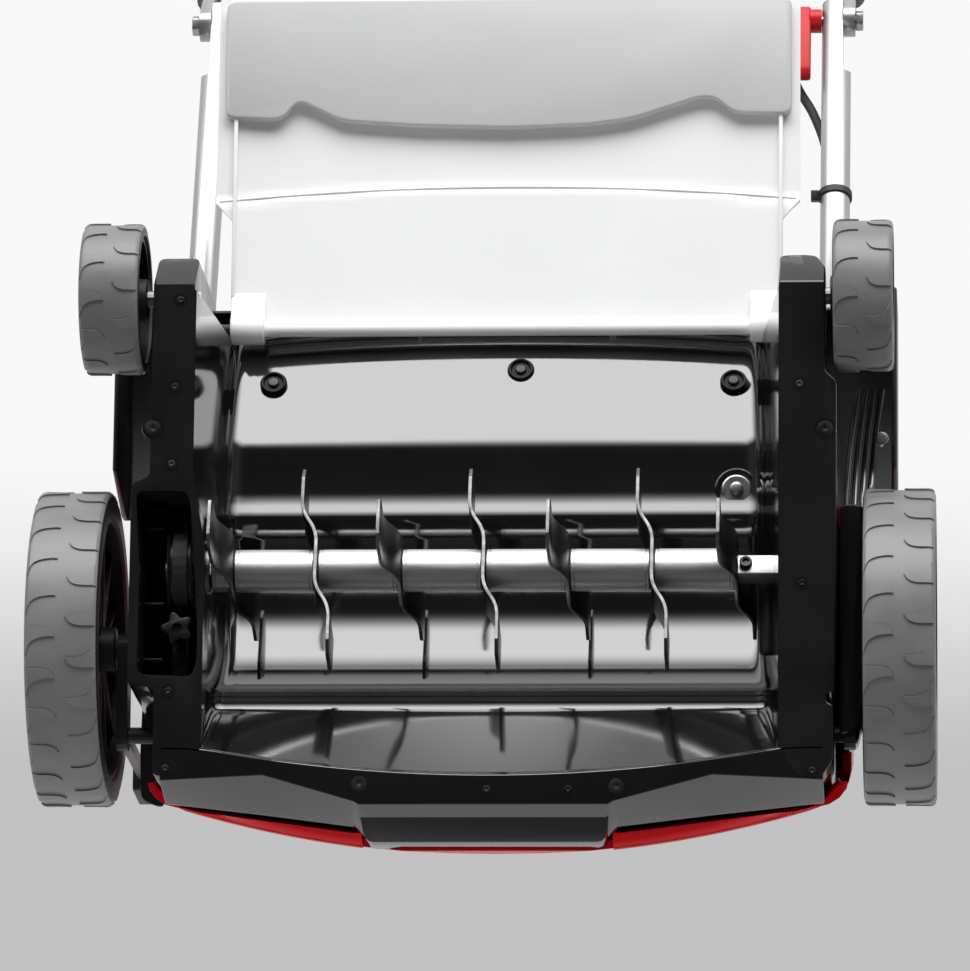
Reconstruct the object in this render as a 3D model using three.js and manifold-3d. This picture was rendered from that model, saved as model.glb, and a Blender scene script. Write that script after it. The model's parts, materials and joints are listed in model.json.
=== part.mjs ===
// Electric lawn scarifier: a wheeled chassis with a knife roller, a belt drive, a rear flap and a folding
// handle.
// Millimetres. +Z is up, the front of the machine faces -Y, and the belt drive is on the +X side.
import * as THREE from 'three';
import { mergeVertices } from 'three/addons/utils/BufferGeometryUtils.js';
import Module from 'manifold-3d';

const wasm = await Module();
wasm.setup();

// ---------------------------------------------------------------- driving dimensions

const GAP = 0.3; // between pieces that touch
const DECK_X = -8.5; // the deck's centre line; the wheels and the roller are centred on X = 0

// Wheels. Y is measured from the front axle line, and the whole group is centred at the end.
const FRONT_WHEEL = { radius: 112, width: 53, x: 294, y: 0, sides: 32 };
const REAR_WHEEL = { radius: 54, width: 44, x: 266, y: 241, sides: 24 };

// Knife roller
const ROLLER = { y: 51, z: 88, leftEnd: 202, rightEnd: -232, barSide: 15 };
const BLADE = {
  count: 7, pitch: 59.3, reach: 75.6, width: 38, thick: 2.4, offset: 11, bendFrom: 22, bendTo: 39,
  hole: ROLLER.barSide + 2 * GAP,
};
const BLADE_TILT = THREE.MathUtils.degToRad(17.5); // of the middle blade's rear end above the horizontal
const SPACER = { outer: 15, inner: 11.5 };
const BEARING = { outer: 24, inner: 11.5 };
const JOURNAL_R = 9; // of the bar's round end, under the drive pulley
const SET_SCREW = { x: -184.5, shank: 3, head: 4.5, socket: 2.4 };

// Chassis
const DECK_Z = 35; // underside of the deck
const CHAMBER = { left: 193.5, right: -209.5, radius: 86 };
const WALL = 4;
const LEFT_RAIL = { inner: CHAMBER.left, outer: 233 };
const RIGHT_RAIL = { inner: CHAMBER.right, outer: -249.5 };
const DRIVE_BOX = { outer: 246, front: -39, rear: 101, top: 150 };
const RAIL_TOP = 182;
const REAR_TOP = 206;
const ROOF_Z = 166; // underside of the flat stretch of the chamber's roof
const ROOF_BOLT = { x: -175, y: 127, washer: 11, head: 5 };
const OUTLET_HOLE = { radius: 7, sites: [[161, 212], [-18, 222], [-172, 212]] };
const GUARD_PIN = { radius: 6.3, x: -199, y: 19, z: 106, length: 50 };

// Hood, whose front edge is bowed
const HOOD = { left: 237, right: -257, front: -118, bow: 34, corner: 22, wall: 3.6 };

// Motor and belt drive
const MOTOR = { y: -20, z: 225, radius: 52, left: 178, right: -40 };
const ROLLER_PULLEY = { radius: 34.5, from: 204, to: 222 };
const MOTOR_PULLEY = { radius: 15, from: 204, to: 222 };
const BELT = { from: 208, to: 218, thick: 3 };
const ADJUSTER = { x: 214.5, y: 4.4, z: 62 };

// Front axle: a cranked bar in front of the chamber, whose arms carry the front wheels
const CRANK = { y: -62, z: 115, radius: 6, armX: 257, armWidth: 8, boss: 11, stub: 7 };
const REAR_STUB_R = 6;

// Flap over the rear outlet, drawn raised
const FLAP = { y: 252, z: 183, rod: 4, knuckle: 11, step: 350, lip: 411, end: 520 };
const FLAP_NARROW = { left: 193, right: -209 };
const FLAP_WIDE = { left: 205.5, right: -219.6 };

// Handle
const TUBE_R = 11;
const TUBE_SPAN = 234; // from the deck's centre line to each lower tube
const TUBE_FOOT = { y: 205, z: 252.4 };
const TUBE_SLOPE = THREE.MathUtils.degToRad(20);
const PIVOT = { y: 540, z: 374.3 };
const LEG_SLOPE = THREE.MathUtils.degToRad(50);
const LEG_LENGTH = 720;
const LEG_SPAN = TUBE_SPAN + 10;
const CLAMP_BOLT_R = 4;
const CORNER_R = 70; // of the upper handle's bends
const BAIL_RISE = THREE.MathUtils.degToRad(28); // above the legs' slope
const BAIL = { pivot: LEG_LENGTH - 130, reach: 130, span: 222, radius: 4 };
const GRIP = { left: 165, right: -60, thick: 3.9 };
const SWITCH = { left: -72, right: -168, rear: 24 };
const BUTTON = { x: -120, z: -20, width: 26, height: 12, proud: 5, deep: 8, travelRoom: 5 };
const CABLE_R = 3.5;

// ---------------------------------------------------------------- finishes

const finish = (color, roughness, metalness = 0) => ({ color, roughness, metalness });
const BLACK_GLOSS = finish(0x0c0d0e, 0.12);
const BLACK_MATT = finish(0x1d1e20, 0.6);
const DARK_GREY = finish(0x2b2d30, 0.55);
const RED = finish(0xc81d20, 0.25);
const LIGHT_GREY = finish(0xd6d8da, 0.4);
const TUBE_GREY = finish(0xb9bcc0, 0.35, 0.6);
const STEEL = finish(0xc9cccf, 0.25, 1);
const DARK_STEEL = finish(0x55585c, 0.4, 1);
const TYRE_GREY = finish(0x4a4b4d, 0.65);
const BELT_BLACK = finish(0x18181a, 0.8);

// ---------------------------------------------------------------- solids

/** A closed geometry as a manifold solid with its faces pointing out. */
function solid(geometry) {
  const bare = geometry.clone();
  bare.deleteAttribute('normal');
  bare.deleteAttribute('uv');
  const merged = mergeVertices(bare, 1e-3);
  const vertProperties = new Float32Array(merged.attributes.position.array);
  const corners = merged.index.array;
  const triVerts = [];
  const a = new THREE.Vector3();
  const b = new THREE.Vector3();
  const c = new THREE.Vector3();
  let volume = 0;
  for (let i = 0; i < corners.length; i += 3) {
    const [i0, i1, i2] = [corners[i], corners[i + 1], corners[i + 2]];
    if (i0 === i1 || i1 === i2 || i2 === i0) continue;
    triVerts.push(i0, i1, i2);
    a.fromArray(vertProperties, 3 * i0);
    b.fromArray(vertProperties, 3 * i1);
    c.fromArray(vertProperties, 3 * i2);
    volume += a.dot(b.cross(c));
  }
  if (volume < 0) triVerts.reverse();
  const mesh = new wasm.Mesh({ numProp: 3, vertProperties, triVerts: new Uint32Array(triVerts) });
  return new wasm.Manifold(mesh);
}

/** A manifold solid as a geometry. */
function geometryOf(manifold) {
  const mesh = manifold.getMesh();
  const geometry = new THREE.BufferGeometry();
  geometry.setAttribute('position', new THREE.BufferAttribute(new Float32Array(mesh.vertProperties), 3));
  geometry.setIndex(new THREE.BufferAttribute(new Uint32Array(mesh.triVerts), 1));
  geometry.computeVertexNormals();
  return geometry;
}

const union = (...parts) => parts.reduce((sum, part) => sum.add(part));
const moved = (part, x, y, z) => part.translate([x, y, z]);

/** A box between two corners. */
function block(low, high) {
  const size = high.map((value, i) => value - low[i]);
  const geometry = new THREE.BoxGeometry(...size);
  geometry.translate(...low.map((value, i) => value + size[i] / 2));
  return solid(geometry);
}

/** A YZ outline pushed along X from x0 to x1. */
function alongX(outline, x0, x1) {
  const shape = new THREE.Shape(outline.map(([y, z]) => new THREE.Vector2(y, z)));
  const geometry = new THREE.ExtrudeGeometry(shape, { depth: x1 - x0, bevelEnabled: false });
  const basis = new THREE.Matrix4().makeBasis(
    new THREE.Vector3(0, 1, 0), new THREE.Vector3(0, 0, 1), new THREE.Vector3(1, 0, 0));
  geometry.applyMatrix4(basis).translate(x0, 0, 0);
  return solid(geometry);
}

/** An XY outline pushed along Z from z0 to z1. */
function alongZ(outline, z0, z1) {
  const shape = new THREE.Shape(outline.map(([x, y]) => new THREE.Vector2(x, y)));
  const geometry = new THREE.ExtrudeGeometry(shape, { depth: z1 - z0, bevelEnabled: false });
  return solid(geometry.translate(0, 0, z0));
}

/** A closed [radius, x] profile turned about a line along X through y, z. */
function turnedX(profile, y, z, sides = 24) {
  const points = profile.map(([radius, x]) => new THREE.Vector2(radius, x));
  const geometry = new THREE.LatheGeometry(points, sides);
  return solid(geometry.rotateZ(-Math.PI / 2).translate(0, y, z));
}

/** A round bar along X. */
function barX(radius, x0, x1, y, z, sides = 16) {
  return turnedX([[0, x0], [radius, x0], [radius, x1], [0, x1]], y, z, sides);
}

/** A ring along X. */
function ringX(inner, outer, x0, x1, y, z, sides = 24) {
  return turnedX([[inner, x0], [outer, x0], [outer, x1], [inner, x1], [inner, x0]], y, z, sides);
}

/** A round bar along Z. */
function barZ(radius, z0, z1, x, y, sides = 16) {
  const geometry = new THREE.CylinderGeometry(radius, radius, z1 - z0, sides);
  return solid(geometry.rotateX(Math.PI / 2).translate(x, y, (z0 + z1) / 2));
}

/** A round tube or wire that follows points [x, y, z]. */
function wire(points, radius, steps, sides = 10) {
  const section = new THREE.Shape();
  for (let i = 0; i < sides; i += 1) {
    const angle = (2 * Math.PI * i) / sides;
    const [x, y] = [radius * Math.cos(angle), radius * Math.sin(angle)];
    if (i === 0) section.moveTo(x, y);
    else section.lineTo(x, y);
  }
  const stations = points.map((point) => new THREE.Vector3(...point));
  const path = new THREE.CatmullRomCurve3(stations, false, 'centripetal');
  return solid(new THREE.ExtrudeGeometry(section, { steps, bevelEnabled: false, extrudePath: path }));
}

/** Points of an arc in YZ, at angles in degrees from +Y towards +Z. */
function arc(y, z, radius, from, to, count) {
  return Array.from({ length: count + 1 }, (_, i) => {
    const angle = THREE.MathUtils.degToRad(from + ((to - from) * i) / count);
    return [y + radius * Math.cos(angle), z + radius * Math.sin(angle)];
  });
}

/** Points of a bowed line across the deck: bow is how far its middle stands ahead of its ends. */
function bow(left, right, y, depth, count = 12) {
  return Array.from({ length: count + 1 }, (_, i) => {
    const t = i / count;
    return [left + (right - left) * t, y - depth * 4 * t * (1 - t)];
  });
}

// ---------------------------------------------------------------- the assembly

const machine = new THREE.Group();

/** Adds one named piece with its finish. */
function piece(name, shape, look, parent = machine) {
  const mesh = new THREE.Mesh(geometryOf(shape), new THREE.MeshStandardMaterial(look));
  mesh.name = name;
  parent.add(mesh);
  return mesh;
}

// ---------------------------------------------------------------- chassis

/** The underside of the chamber from the front lip to the outlet, offset outwards by a thickness. */
function chamberLine(thick) {
  const { y, z } = ROLLER;
  const roof = ROOF_Z + thick;
  const dome = arc(y, z, CHAMBER.radius + thick, 180, 52, 16);
  const slope = Math.tan(THREE.MathUtils.degToRad(20));
  const outletY = 264;
  return [
    [-106 + thick * 0.2, DECK_Z + thick],
    [-38 - thick, 84],
    ...dome,
    [112 + thick * 0.3, 156 + thick],
    [126, roof],
    [162, roof],
    [outletY, roof + slope * (outletY - 162)],
  ];
}

/** The front's outline from above, inset from the hood's: a bowed edge between two rounded corners. */
function frontPlan(inset) {
  const left = HOOD.left - inset;
  const right = HOOD.right + inset;
  const front = HOOD.front + inset;
  return [
    [left, 400], [left, front + HOOD.corner], [left - 7, front + 7],
    ...bow(left - HOOD.corner, right + HOOD.corner, front, HOOD.bow),
    [right + 7, front + 7], [right, front + HOOD.corner], [right, 400],
  ];
}

/** Outline of a side rail seen from the side. */
const RAIL_OUTLINE = [
  [-112, DECK_Z], [246, DECK_Z], [274, 68], [274, REAR_TOP], [160, REAR_TOP], [128, RAIL_TOP],
  [-70, RAIL_TOP], [-112, 130],
];

/** The moulded chassis: rails, chamber roof, nose and the pocket of the belt drive. */
function chassisShell() {
  const rails = union(
    alongX(RAIL_OUTLINE, LEFT_RAIL.inner, LEFT_RAIL.outer),
    alongX(RAIL_OUTLINE, RIGHT_RAIL.outer, RIGHT_RAIL.inner));
  const inner = chamberLine(0);
  const outer = chamberLine(WALL).reverse();
  const roof = alongX([...inner, ...outer], RIGHT_RAIL.inner - 1, LEFT_RAIL.inner + 1);
  const nose = alongX(
    [[-104, DECK_Z], [-120, DECK_Z], [-147, 72], [-147, 92], [-112, 92], [-112, 60], [-100, 42]],
    RIGHT_RAIL.outer, LEFT_RAIL.outer);
  const front = union(rails, roof, nose).intersect(alongZ(frontPlan(HOOD.wall + GAP), 0, 400));
  const driveBox = block(
    [LEFT_RAIL.inner, DRIVE_BOX.front, DECK_Z], [DRIVE_BOX.outer, DRIVE_BOX.rear, DRIVE_BOX.top]);
  const wheelNotch = block([-260, 182, 0], [-241.5, 300, 115]);
  const boltSeat = barZ(ROOF_BOLT.washer + 1.5, 140, ROOF_Z, ROOF_BOLT.x, ROOF_BOLT.y, 24);
  return union(front, driveBox).subtract(union(...railHollows(), ...shaftHoles(), wheelNotch, boltSeat));
}

/** What the rails are hollowed by, from above, and the drive pocket, from below. */
function railHollows() {
  const deep = DECK_Z + WALL;
  const top = 300;
  const hollow = (x0, x1, y0, y1, z0 = deep) => block([x0 + WALL, y0, z0], [x1 - WALL, y1, top]);
  return [
    hollow(LEFT_RAIL.inner, LEFT_RAIL.outer, DRIVE_BOX.rear + WALL, 222),
    hollow(LEFT_RAIL.inner, LEFT_RAIL.outer, -100, DRIVE_BOX.front - WALL),
    hollow(RIGHT_RAIL.outer, RIGHT_RAIL.inner, 84, 222),
    hollow(RIGHT_RAIL.outer, RIGHT_RAIL.inner, -100, 18),
    block([LEFT_RAIL.inner + WALL, DRIVE_BOX.front + WALL, 0],
      [LEFT_RAIL.outer - WALL, DRIVE_BOX.rear - WALL, top]),
    block([LEFT_RAIL.outer - WALL - 1, DRIVE_BOX.front + WALL, 0],
      [DRIVE_BOX.outer - WALL, DRIVE_BOX.rear - WALL, DRIVE_BOX.top - WALL]),
  ];
}

/** Bores for the roller's bearings, the crank, the rear stubs and the flap's rod. */
function shaftHoles() {
  const { y, z } = ROLLER;
  return [
    barX(BEARING.outer + GAP, LEFT_RAIL.inner - 1, LEFT_RAIL.inner + WALL + 1, y, z, 28),
    barX(BEARING.outer + GAP, RIGHT_RAIL.outer + WALL, RIGHT_RAIL.inner + 2, y, z, 28),
    barX(CRANK.radius + GAP, RIGHT_RAIL.outer - 2, RIGHT_RAIL.inner + 2, CRANK.y, CRANK.z),
    barX(CRANK.radius + GAP, LEFT_RAIL.inner - 2, LEFT_RAIL.outer + 2, CRANK.y, CRANK.z),
    barX(REAR_STUB_R + GAP, LEFT_RAIL.inner + 6, LEFT_RAIL.outer + 2, REAR_WHEEL.y, REAR_WHEEL.radius),
    barX(REAR_STUB_R + GAP, RIGHT_RAIL.outer - 2, RIGHT_RAIL.inner - 6, REAR_WHEEL.y, REAR_WHEEL.radius),
    barX(FLAP.rod + GAP, RIGHT_RAIL.inner - 16, LEFT_RAIL.inner + 16, FLAP.y, FLAP.z),
    ...OUTLET_HOLE.sites.map(([x, holeY]) => barZ(OUTLET_HOLE.radius, 120, 240, x, holeY)),
  ];
}

piece('chassis_shell', chassisShell(), BLACK_GLOSS);

// ---------------------------------------------------------------- knife roller

/** One knife: a Z-bent plate with a square hole, its long side along +Y. */
function knife() {
  const { reach, offset, bendFrom, bendTo, thick, width } = BLADE;
  const middle = [
    [-reach, -offset], [-bendTo, -offset], [-bendFrom, 0], [bendFrom, 0], [bendTo, offset], [reach, offset],
  ];
  const side = (shift) => middle.map(([along, x]) => [x + shift, along]);
  const outline = [...side(thick / 2), ...side(-thick / 2).reverse()];
  const plate = alongZ(outline, -width / 2, width / 2);
  const hole = BLADE.hole / 2;
  return plate.subtract(block([-5, -hole, -hole], [5, hole, hole]));
}

/** Turns a solid about the roller's axis and puts it on the roller at x. */
function onRoller(shape, x, angle) {
  return moved(shape.rotate([THREE.MathUtils.radToDeg(angle), 0, 0]), x, ROLLER.y, ROLLER.z);
}

const bladeShape = knife();
const middleBlade = (BLADE.count - 1) / 2;
for (let i = 0; i < BLADE.count; i += 1) {
  const x = (middleBlade - i) * BLADE.pitch;
  const angle = BLADE_TILT - (i % 2 === 0 ? Math.PI / 2 : 0);
  piece(`knife_${i + 1}`, onRoller(bladeShape, x, angle), DARK_STEEL);
}

for (let i = 0; i < BLADE.count; i += 1) {
  const right = (middleBlade - i) * BLADE.pitch + BLADE.thick / 2 + GAP;
  const left = i === 0 ? CHAMBER.left - 1 : right + BLADE.pitch - BLADE.thick - 2 * GAP;
  const sleeve = ringX(SPACER.inner, SPACER.outer, right, left, ROLLER.y, ROLLER.z, 24);
  piece(`spacer_${i + 1}`, sleeve, STEEL);
}

/** The square bar with a cross hole for its end screw. */
function rollerBar() {
  const half = ROLLER.barSide / 2;
  const square = block([ROLLER.rightEnd, -half, -half], [ROLLER.leftEnd, half, half]);
  const journal = barX(JOURNAL_R, ROLLER.leftEnd - 1, ROLLER_PULLEY.to + 4, 0, 0);
  const screwHole = barZ(SET_SCREW.shank + GAP, -half - 1, -half + 8, SET_SCREW.x, 0);
  return onRoller(union(square, journal).subtract(screwHole), 0, BLADE_TILT);
}

piece('roller_bar', rollerBar(), STEEL);

/** The set screw that holds the last knife on the bar. */
function setScrew() {
  const half = ROLLER.barSide / 2;
  const { x, shank, head, socket } = SET_SCREW;
  const screw = union(barZ(shank, -half - 1, -half + 7.5, x, 0), barZ(head, -half - 5, -half - GAP, x, 0));
  return onRoller(screw.subtract(barZ(socket, -half - 6, -half - 2, x, 0, 6)), 0, BLADE_TILT);
}

piece('roller_set_screw', setScrew(), DARK_STEEL);

/** A belt pulley along X with two flanges and a rib between its two grooves. */
function flangedPulley({ radius, from, to }, bore, y, z) {
  const groove = radius - 6;
  const middle = (from + to) / 2;
  const flange = 1.6;
  const profile = [
    [bore, from], [radius, from], [radius, from + flange], [groove, from + flange],
    [groove, middle - flange / 2], [groove + 1.5, middle - flange / 2],
    [groove + 1.5, middle + flange / 2], [groove, middle + flange / 2],
    [groove, to - flange], [radius, to - flange], [radius, to], [bore, to], [bore, from],
  ];
  return turnedX(profile, y, z, 20);
}

/** A bearing on the roller's axis. */
function bearing(x0, x1) {
  return ringX(BEARING.inner, BEARING.outer, x0, x1, ROLLER.y, ROLLER.z);
}

piece('roller_pulley', flangedPulley(ROLLER_PULLEY, JOURNAL_R + GAP, ROLLER.y, ROLLER.z), BLACK_MATT);
piece('bearing_left', bearing(CHAMBER.left + 0.5, ROLLER_PULLEY.from - 1.5), STEEL);
piece('bearing_right', bearing(ROLLER.rightEnd + 3, CHAMBER.right - 0.5), STEEL);

// ---------------------------------------------------------------- motor and belt

/** The motor's can with its end bells, and a shaft stub out of the right end. */
function motorCan() {
  const { radius, left, right, y, z } = MOTOR;
  return turnedX([
    [0, right], [28, right], [40, right + 10], [radius, right + 14], [radius, left - 14],
    [40, left - 10], [20, left], [7, left], [7, MOTOR_PULLEY.from - 4], [0, MOTOR_PULLEY.from - 4],
  ], y, z);
}

/** A saddle between the chamber's dome and the motor. */
function motorCradle() {
  const toMotor = THREE.MathUtils.radToDeg(Math.atan2(MOTOR.z - ROLLER.z, MOTOR.y - ROLLER.y));
  const domeArc = arc(ROLLER.y, ROLLER.z, CHAMBER.radius + WALL + GAP + 0.6, toMotor - 24, toMotor + 18, 8);
  const motorArc = arc(MOTOR.y, MOTOR.z, MOTOR.radius + GAP + 0.3, toMotor + 180 - 40, toMotor + 180 + 40, 8);
  return alongX([...domeArc, ...motorArc], -10, 150);
}

piece('motor', motorCan(), DARK_GREY);
piece('motor_cradle', motorCradle(), BLACK_MATT);
const motorPulley = union(
  flangedPulley(MOTOR_PULLEY, 4, MOTOR.y, MOTOR.z),
  barX(5, MOTOR_PULLEY.from - 3.5, MOTOR_PULLEY.to, MOTOR.y, MOTOR.z));
piece('motor_pulley', motorPulley, STEEL);

/** The belt's loop round both pulleys, its outline widened by a distance. */
function beltLoop(extra) {
  const tilt = THREE.MathUtils.radToDeg(Math.atan2(MOTOR.z - ROLLER.z, MOTOR.y - ROLLER.y));
  const big = ROLLER_PULLEY.radius - 4 + extra;
  const small = MOTOR_PULLEY.radius - 4 + extra;
  const reach = Math.hypot(MOTOR.z - ROLLER.z, MOTOR.y - ROLLER.y);
  const lean = THREE.MathUtils.radToDeg(Math.acos((big - small) / reach));
  return [
    ...arc(ROLLER.y, ROLLER.z, big, tilt + lean, tilt + 360 - lean, 18),
    ...arc(MOTOR.y, MOTOR.z, small, tilt - lean, tilt + lean, 10),
  ];
}

const belt = alongX(beltLoop(BELT.thick), BELT.from, BELT.to).subtract(alongX(beltLoop(0), 0, 300));
piece('drive_belt', belt, BELT_BLACK);

/** A star-headed adjuster with a hexagon socket, hanging from the drive pocket's front wall. */
function adjuster() {
  const arms = 5;
  const star = new THREE.Shape();
  for (let i = 0; i < 2 * arms; i += 1) {
    const angle = (Math.PI * i) / arms;
    const radius = i % 2 === 0 ? 12 : 8;
    const [x, y] = [radius * Math.cos(angle), radius * Math.sin(angle)];
    if (i === 0) star.moveTo(x, y);
    else star.lineTo(x, y);
  }
  const head = solid(new THREE.ExtrudeGeometry(star, { depth: 5, bevelEnabled: false }));
  const stem = barZ(5, 4, 32, 0, 0);
  const lug = block([-6, DRIVE_BOX.front + WALL + GAP - ADJUSTER.y, 24], [6, 3, 32]);
  const socket = barZ(4, -1, 3, 0, 0, 6);
  return moved(union(head, stem, lug).subtract(socket), ADJUSTER.x, ADJUSTER.y, ADJUSTER.z);
}

piece('belt_adjuster', adjuster(), STEEL);

// ---------------------------------------------------------------- covers

const HOOD_SIDE = [
  [-150, 94], [-153, 125], [-143, 185], [-112, 242], [-62, 280], [0, 297], [62, 294], [104, 272],
  [119, 236], [119, RAIL_TOP + GAP], [-86, RAIL_TOP + GAP], [-96, 150], [-96, 94],
];

const hoodBlock = alongX(HOOD_SIDE, HOOD.right, HOOD.left);

/** The hood as a shell, open below. */
function hood() {
  const outer = hoodBlock.intersect(alongZ(frontPlan(0), 0, 400));
  const w = HOOD.wall;
  const hollow = alongX([
    [-150 + w, 60], [-153 + w, 125], [-143 + w, 183], [-110 + w, 238], [-60, 280 - w - 1], [0, 297 - w],
    [61, 294 - w], [101, 270 - w], [119 - w, 234], [119 - w, 60],
  ], HOOD.right + w, HOOD.left - w).intersect(alongZ(frontPlan(w), 0, 400));
  return outer.subtract(hollow);
}

piece('hood', hood(), RED);

/** The motor's air grille, a slotted panel lying on top of the hood. */
function ventGrille() {
  const panel = alongX([
    [-90, 262], [-62, 284], [0, 301], [62, 298], [92, 284], [92, 270], [60, 280], [-60, 270],
  ], DECK_X - 80, DECK_X + 80).subtract(moved(hoodBlock, 0, 0, GAP));
  const slots = Array.from({ length: 5 }, (_, i) => {
    const y = -40 + i * 20;
    return block([DECK_X - 62, y, 200], [DECK_X + 62, y + 8, 320]);
  });
  return panel.subtract(union(...slots));
}

piece('vent_grille', ventGrille(), BLACK_MATT);

const REAR_COVER = { left: 273, right: -290, front: 119.6, rear: 273, bottom: 150, top: 239 };

/** The cover over the outlet, with side wings behind the front wheels. */
function rearCover() {
  const { left, right, front, rear, bottom, top } = REAR_COVER;
  const w = HOOD.wall;
  const side = [
    [front, bottom + 62], [front + 20, bottom], [rear, bottom], [rear, top - 8], [rear - 10, top],
    [front + 30, top], [front, top - 14],
  ];
  const inside = [
    [front - 2, bottom - 20], [rear - w, bottom - 20], [rear - w, top - 10], [rear - 12, top - w],
    [front + 30, top - w], [front - 2, top - 19],
  ];
  const shell = alongX(side, right, left).subtract(alongX(inside, right + w, left - w));
  const outlet = block(
    [RIGHT_RAIL.outer - 1, rear - 2 * w, 0], [LEFT_RAIL.outer + 1, rear + 5, REAR_TOP + 0.5]);
  const frontGate = block(
    [RIGHT_RAIL.outer - 4, front - 5, 0], [DRIVE_BOX.outer, front + 30, RAIL_TOP + 30]);
  return shell.subtract(union(outlet, frontGate));
}

piece('rear_cover', rearCover(), DARK_GREY);

// ---------------------------------------------------------------- small chassis pieces

/** A bolt with a wide washer under the chamber's roof. */
const roofBolt = union(
  barZ(ROOF_BOLT.washer, ROOF_Z - 3, ROOF_Z - GAP, ROOF_BOLT.x, ROOF_BOLT.y, 20),
  barZ(ROOF_BOLT.head, ROOF_Z - 8, ROOF_Z - 2, ROOF_BOLT.x, ROOF_BOLT.y, 12));

piece('roof_bolt', roofBolt, STEEL);

/** A stub axle that carries a rear wheel; side is +1 on the left and -1 on the right. */
function rearStub(side) {
  const railInner = side > 0 ? LEFT_RAIL.inner + 8 : RIGHT_RAIL.inner - 8;
  const end = side * (REAR_WHEEL.x + REAR_WHEEL.width / 2 - 6);
  const [x0, x1] = [Math.min(railInner, end), Math.max(railInner, end)];
  return barX(REAR_STUB_R, x0, x1, REAR_WHEEL.y, REAR_WHEEL.radius);
}

/** A round stop that points forwards beside the roller, on a lug from the right wall. */
function guardPin() {
  const { radius, x, y, z, length } = GUARD_PIN;
  const rod = solid(new THREE.CylinderGeometry(radius, radius, length, 16).translate(x, y, z));
  return union(rod, block([CHAMBER.right + GAP, y + 11, z - 5], [x, y + 23, z + 5]));
}

piece('guard_pin', guardPin(), BLACK_MATT);
piece('rear_stub_left', rearStub(1), STEEL);
piece('rear_stub_right', rearStub(-1), STEEL);
piece('flap_rod', barX(FLAP.rod, RIGHT_RAIL.inner - 14, LEFT_RAIL.inner + 14, FLAP.y, FLAP.z), STEEL);

// ---------------------------------------------------------------- front axle and wheels

/** The cranked front axle: a cross bar, two arms and two wheel stubs. */
function crankAxle() {
  const { y, z, radius, armX, armWidth, boss, stub } = CRANK;
  const wheelZ = FRONT_WHEEL.radius;
  const bar = barX(radius, -armX, armX, y, z);
  const sides = [-1, 1].map((side) => {
    const [x0, x1] = [side * armX - armWidth / 2, side * armX + armWidth / 2];
    const reach = FRONT_WHEEL.x + FRONT_WHEEL.width / 2 - 8;
    const [s0, s1] = [Math.min(side * armX, side * reach), Math.max(side * armX, side * reach)];
    return union(
      alongX([[y - 4, z - boss], [2, wheelZ - boss], [2, wheelZ + boss], [y - 4, z + boss]], x0, x1),
      barX(boss, x0, x1, y, z), barX(boss, x0, x1, 0, wheelZ), barX(stub, s0, s1, 0, wheelZ));
  });
  const lever = alongX([[y - 4, z + 4], [y + 6, z + 4], [y + 2, 290], [y - 6, 290]], armX - 3, armX + 3);
  return union(bar, ...sides, lever);
}

piece('front_axle', crankAxle(), DARK_STEEL);

/** The grip on the depth lever. */
function leverGrip() {
  const { y, armX } = CRANK;
  const outside = [[y - 12, 252], [y + 8, 252], [y + 10, 300], [y + 4, 308], [y - 10, 308], [y - 14, 300]];
  const inside = [[y - 6.7, 240], [y + 4.6, 240], [y + 2.4, 290.4], [y - 6.4, 290.4]];
  return alongX(outside, armX - 8, armX + 8).subtract(alongX(inside, armX - 3 - GAP, armX + 3 + GAP));
}

piece('depth_lever_grip', leverGrip(), RED);

/** A tyre's ring with a rounded tread, turned about X. */
function tyre({ radius, width, y, sides }, x) {
  const half = width / 2;
  const inner = radius * 0.84;
  const profile = [
    [inner, x - half], [radius - 6, x - half], [radius - 2, x - half + 3], [radius, x - half + 12],
    [radius, x + half - 12], [radius - 2, x + half - 3], [radius - 6, x + half], [inner, x + half],
    [inner, x - half],
  ];
  return turnedX(profile, y, radius, sides);
}

/** A wheel's rim: a barrel, a dished web near its outer face and a hub. side is +1 on the left. */
function rim({ radius, width, y, sides }, x, side, bore) {
  const outer = radius * 0.84 - 2.5 * GAP;
  const half = width / 2;
  const at = (distance) => x + side * (half - distance);
  const hub = bore + 8;
  const profile = [
    [bore, at(10)], [hub, at(10)], [outer - 14, at(4)], [outer - 4, at(2)], [outer, at(2)],
    [outer, at(width - 2)], [outer - 4, at(width - 2)], [outer - 4, at(8)], [outer - 14, at(9)],
    [hub, at(15)], [hub, at(width + 2)], [bore, at(width + 2)], [bore, at(10)],
  ];
  return turnedX(profile, y, radius, sides - 8);
}

const WHEELS = [
  ['front_left', FRONT_WHEEL, 1, CRANK.stub], ['front_right', FRONT_WHEEL, -1, CRANK.stub],
  ['rear_left', REAR_WHEEL, 1, REAR_STUB_R], ['rear_right', REAR_WHEEL, -1, REAR_STUB_R],
];
const WHEEL_CLEARANCE = 0.2;
for (const [name, wheel, side, stub] of WHEELS) {
  piece(`tyre_${name}`, tyre(wheel, side * wheel.x), TYRE_GREY);
  piece(`rim_${name}`, rim(wheel, side * wheel.x, side, stub + WHEEL_CLEARANCE), BLACK_MATT);
}

// ---------------------------------------------------------------- flap

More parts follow.
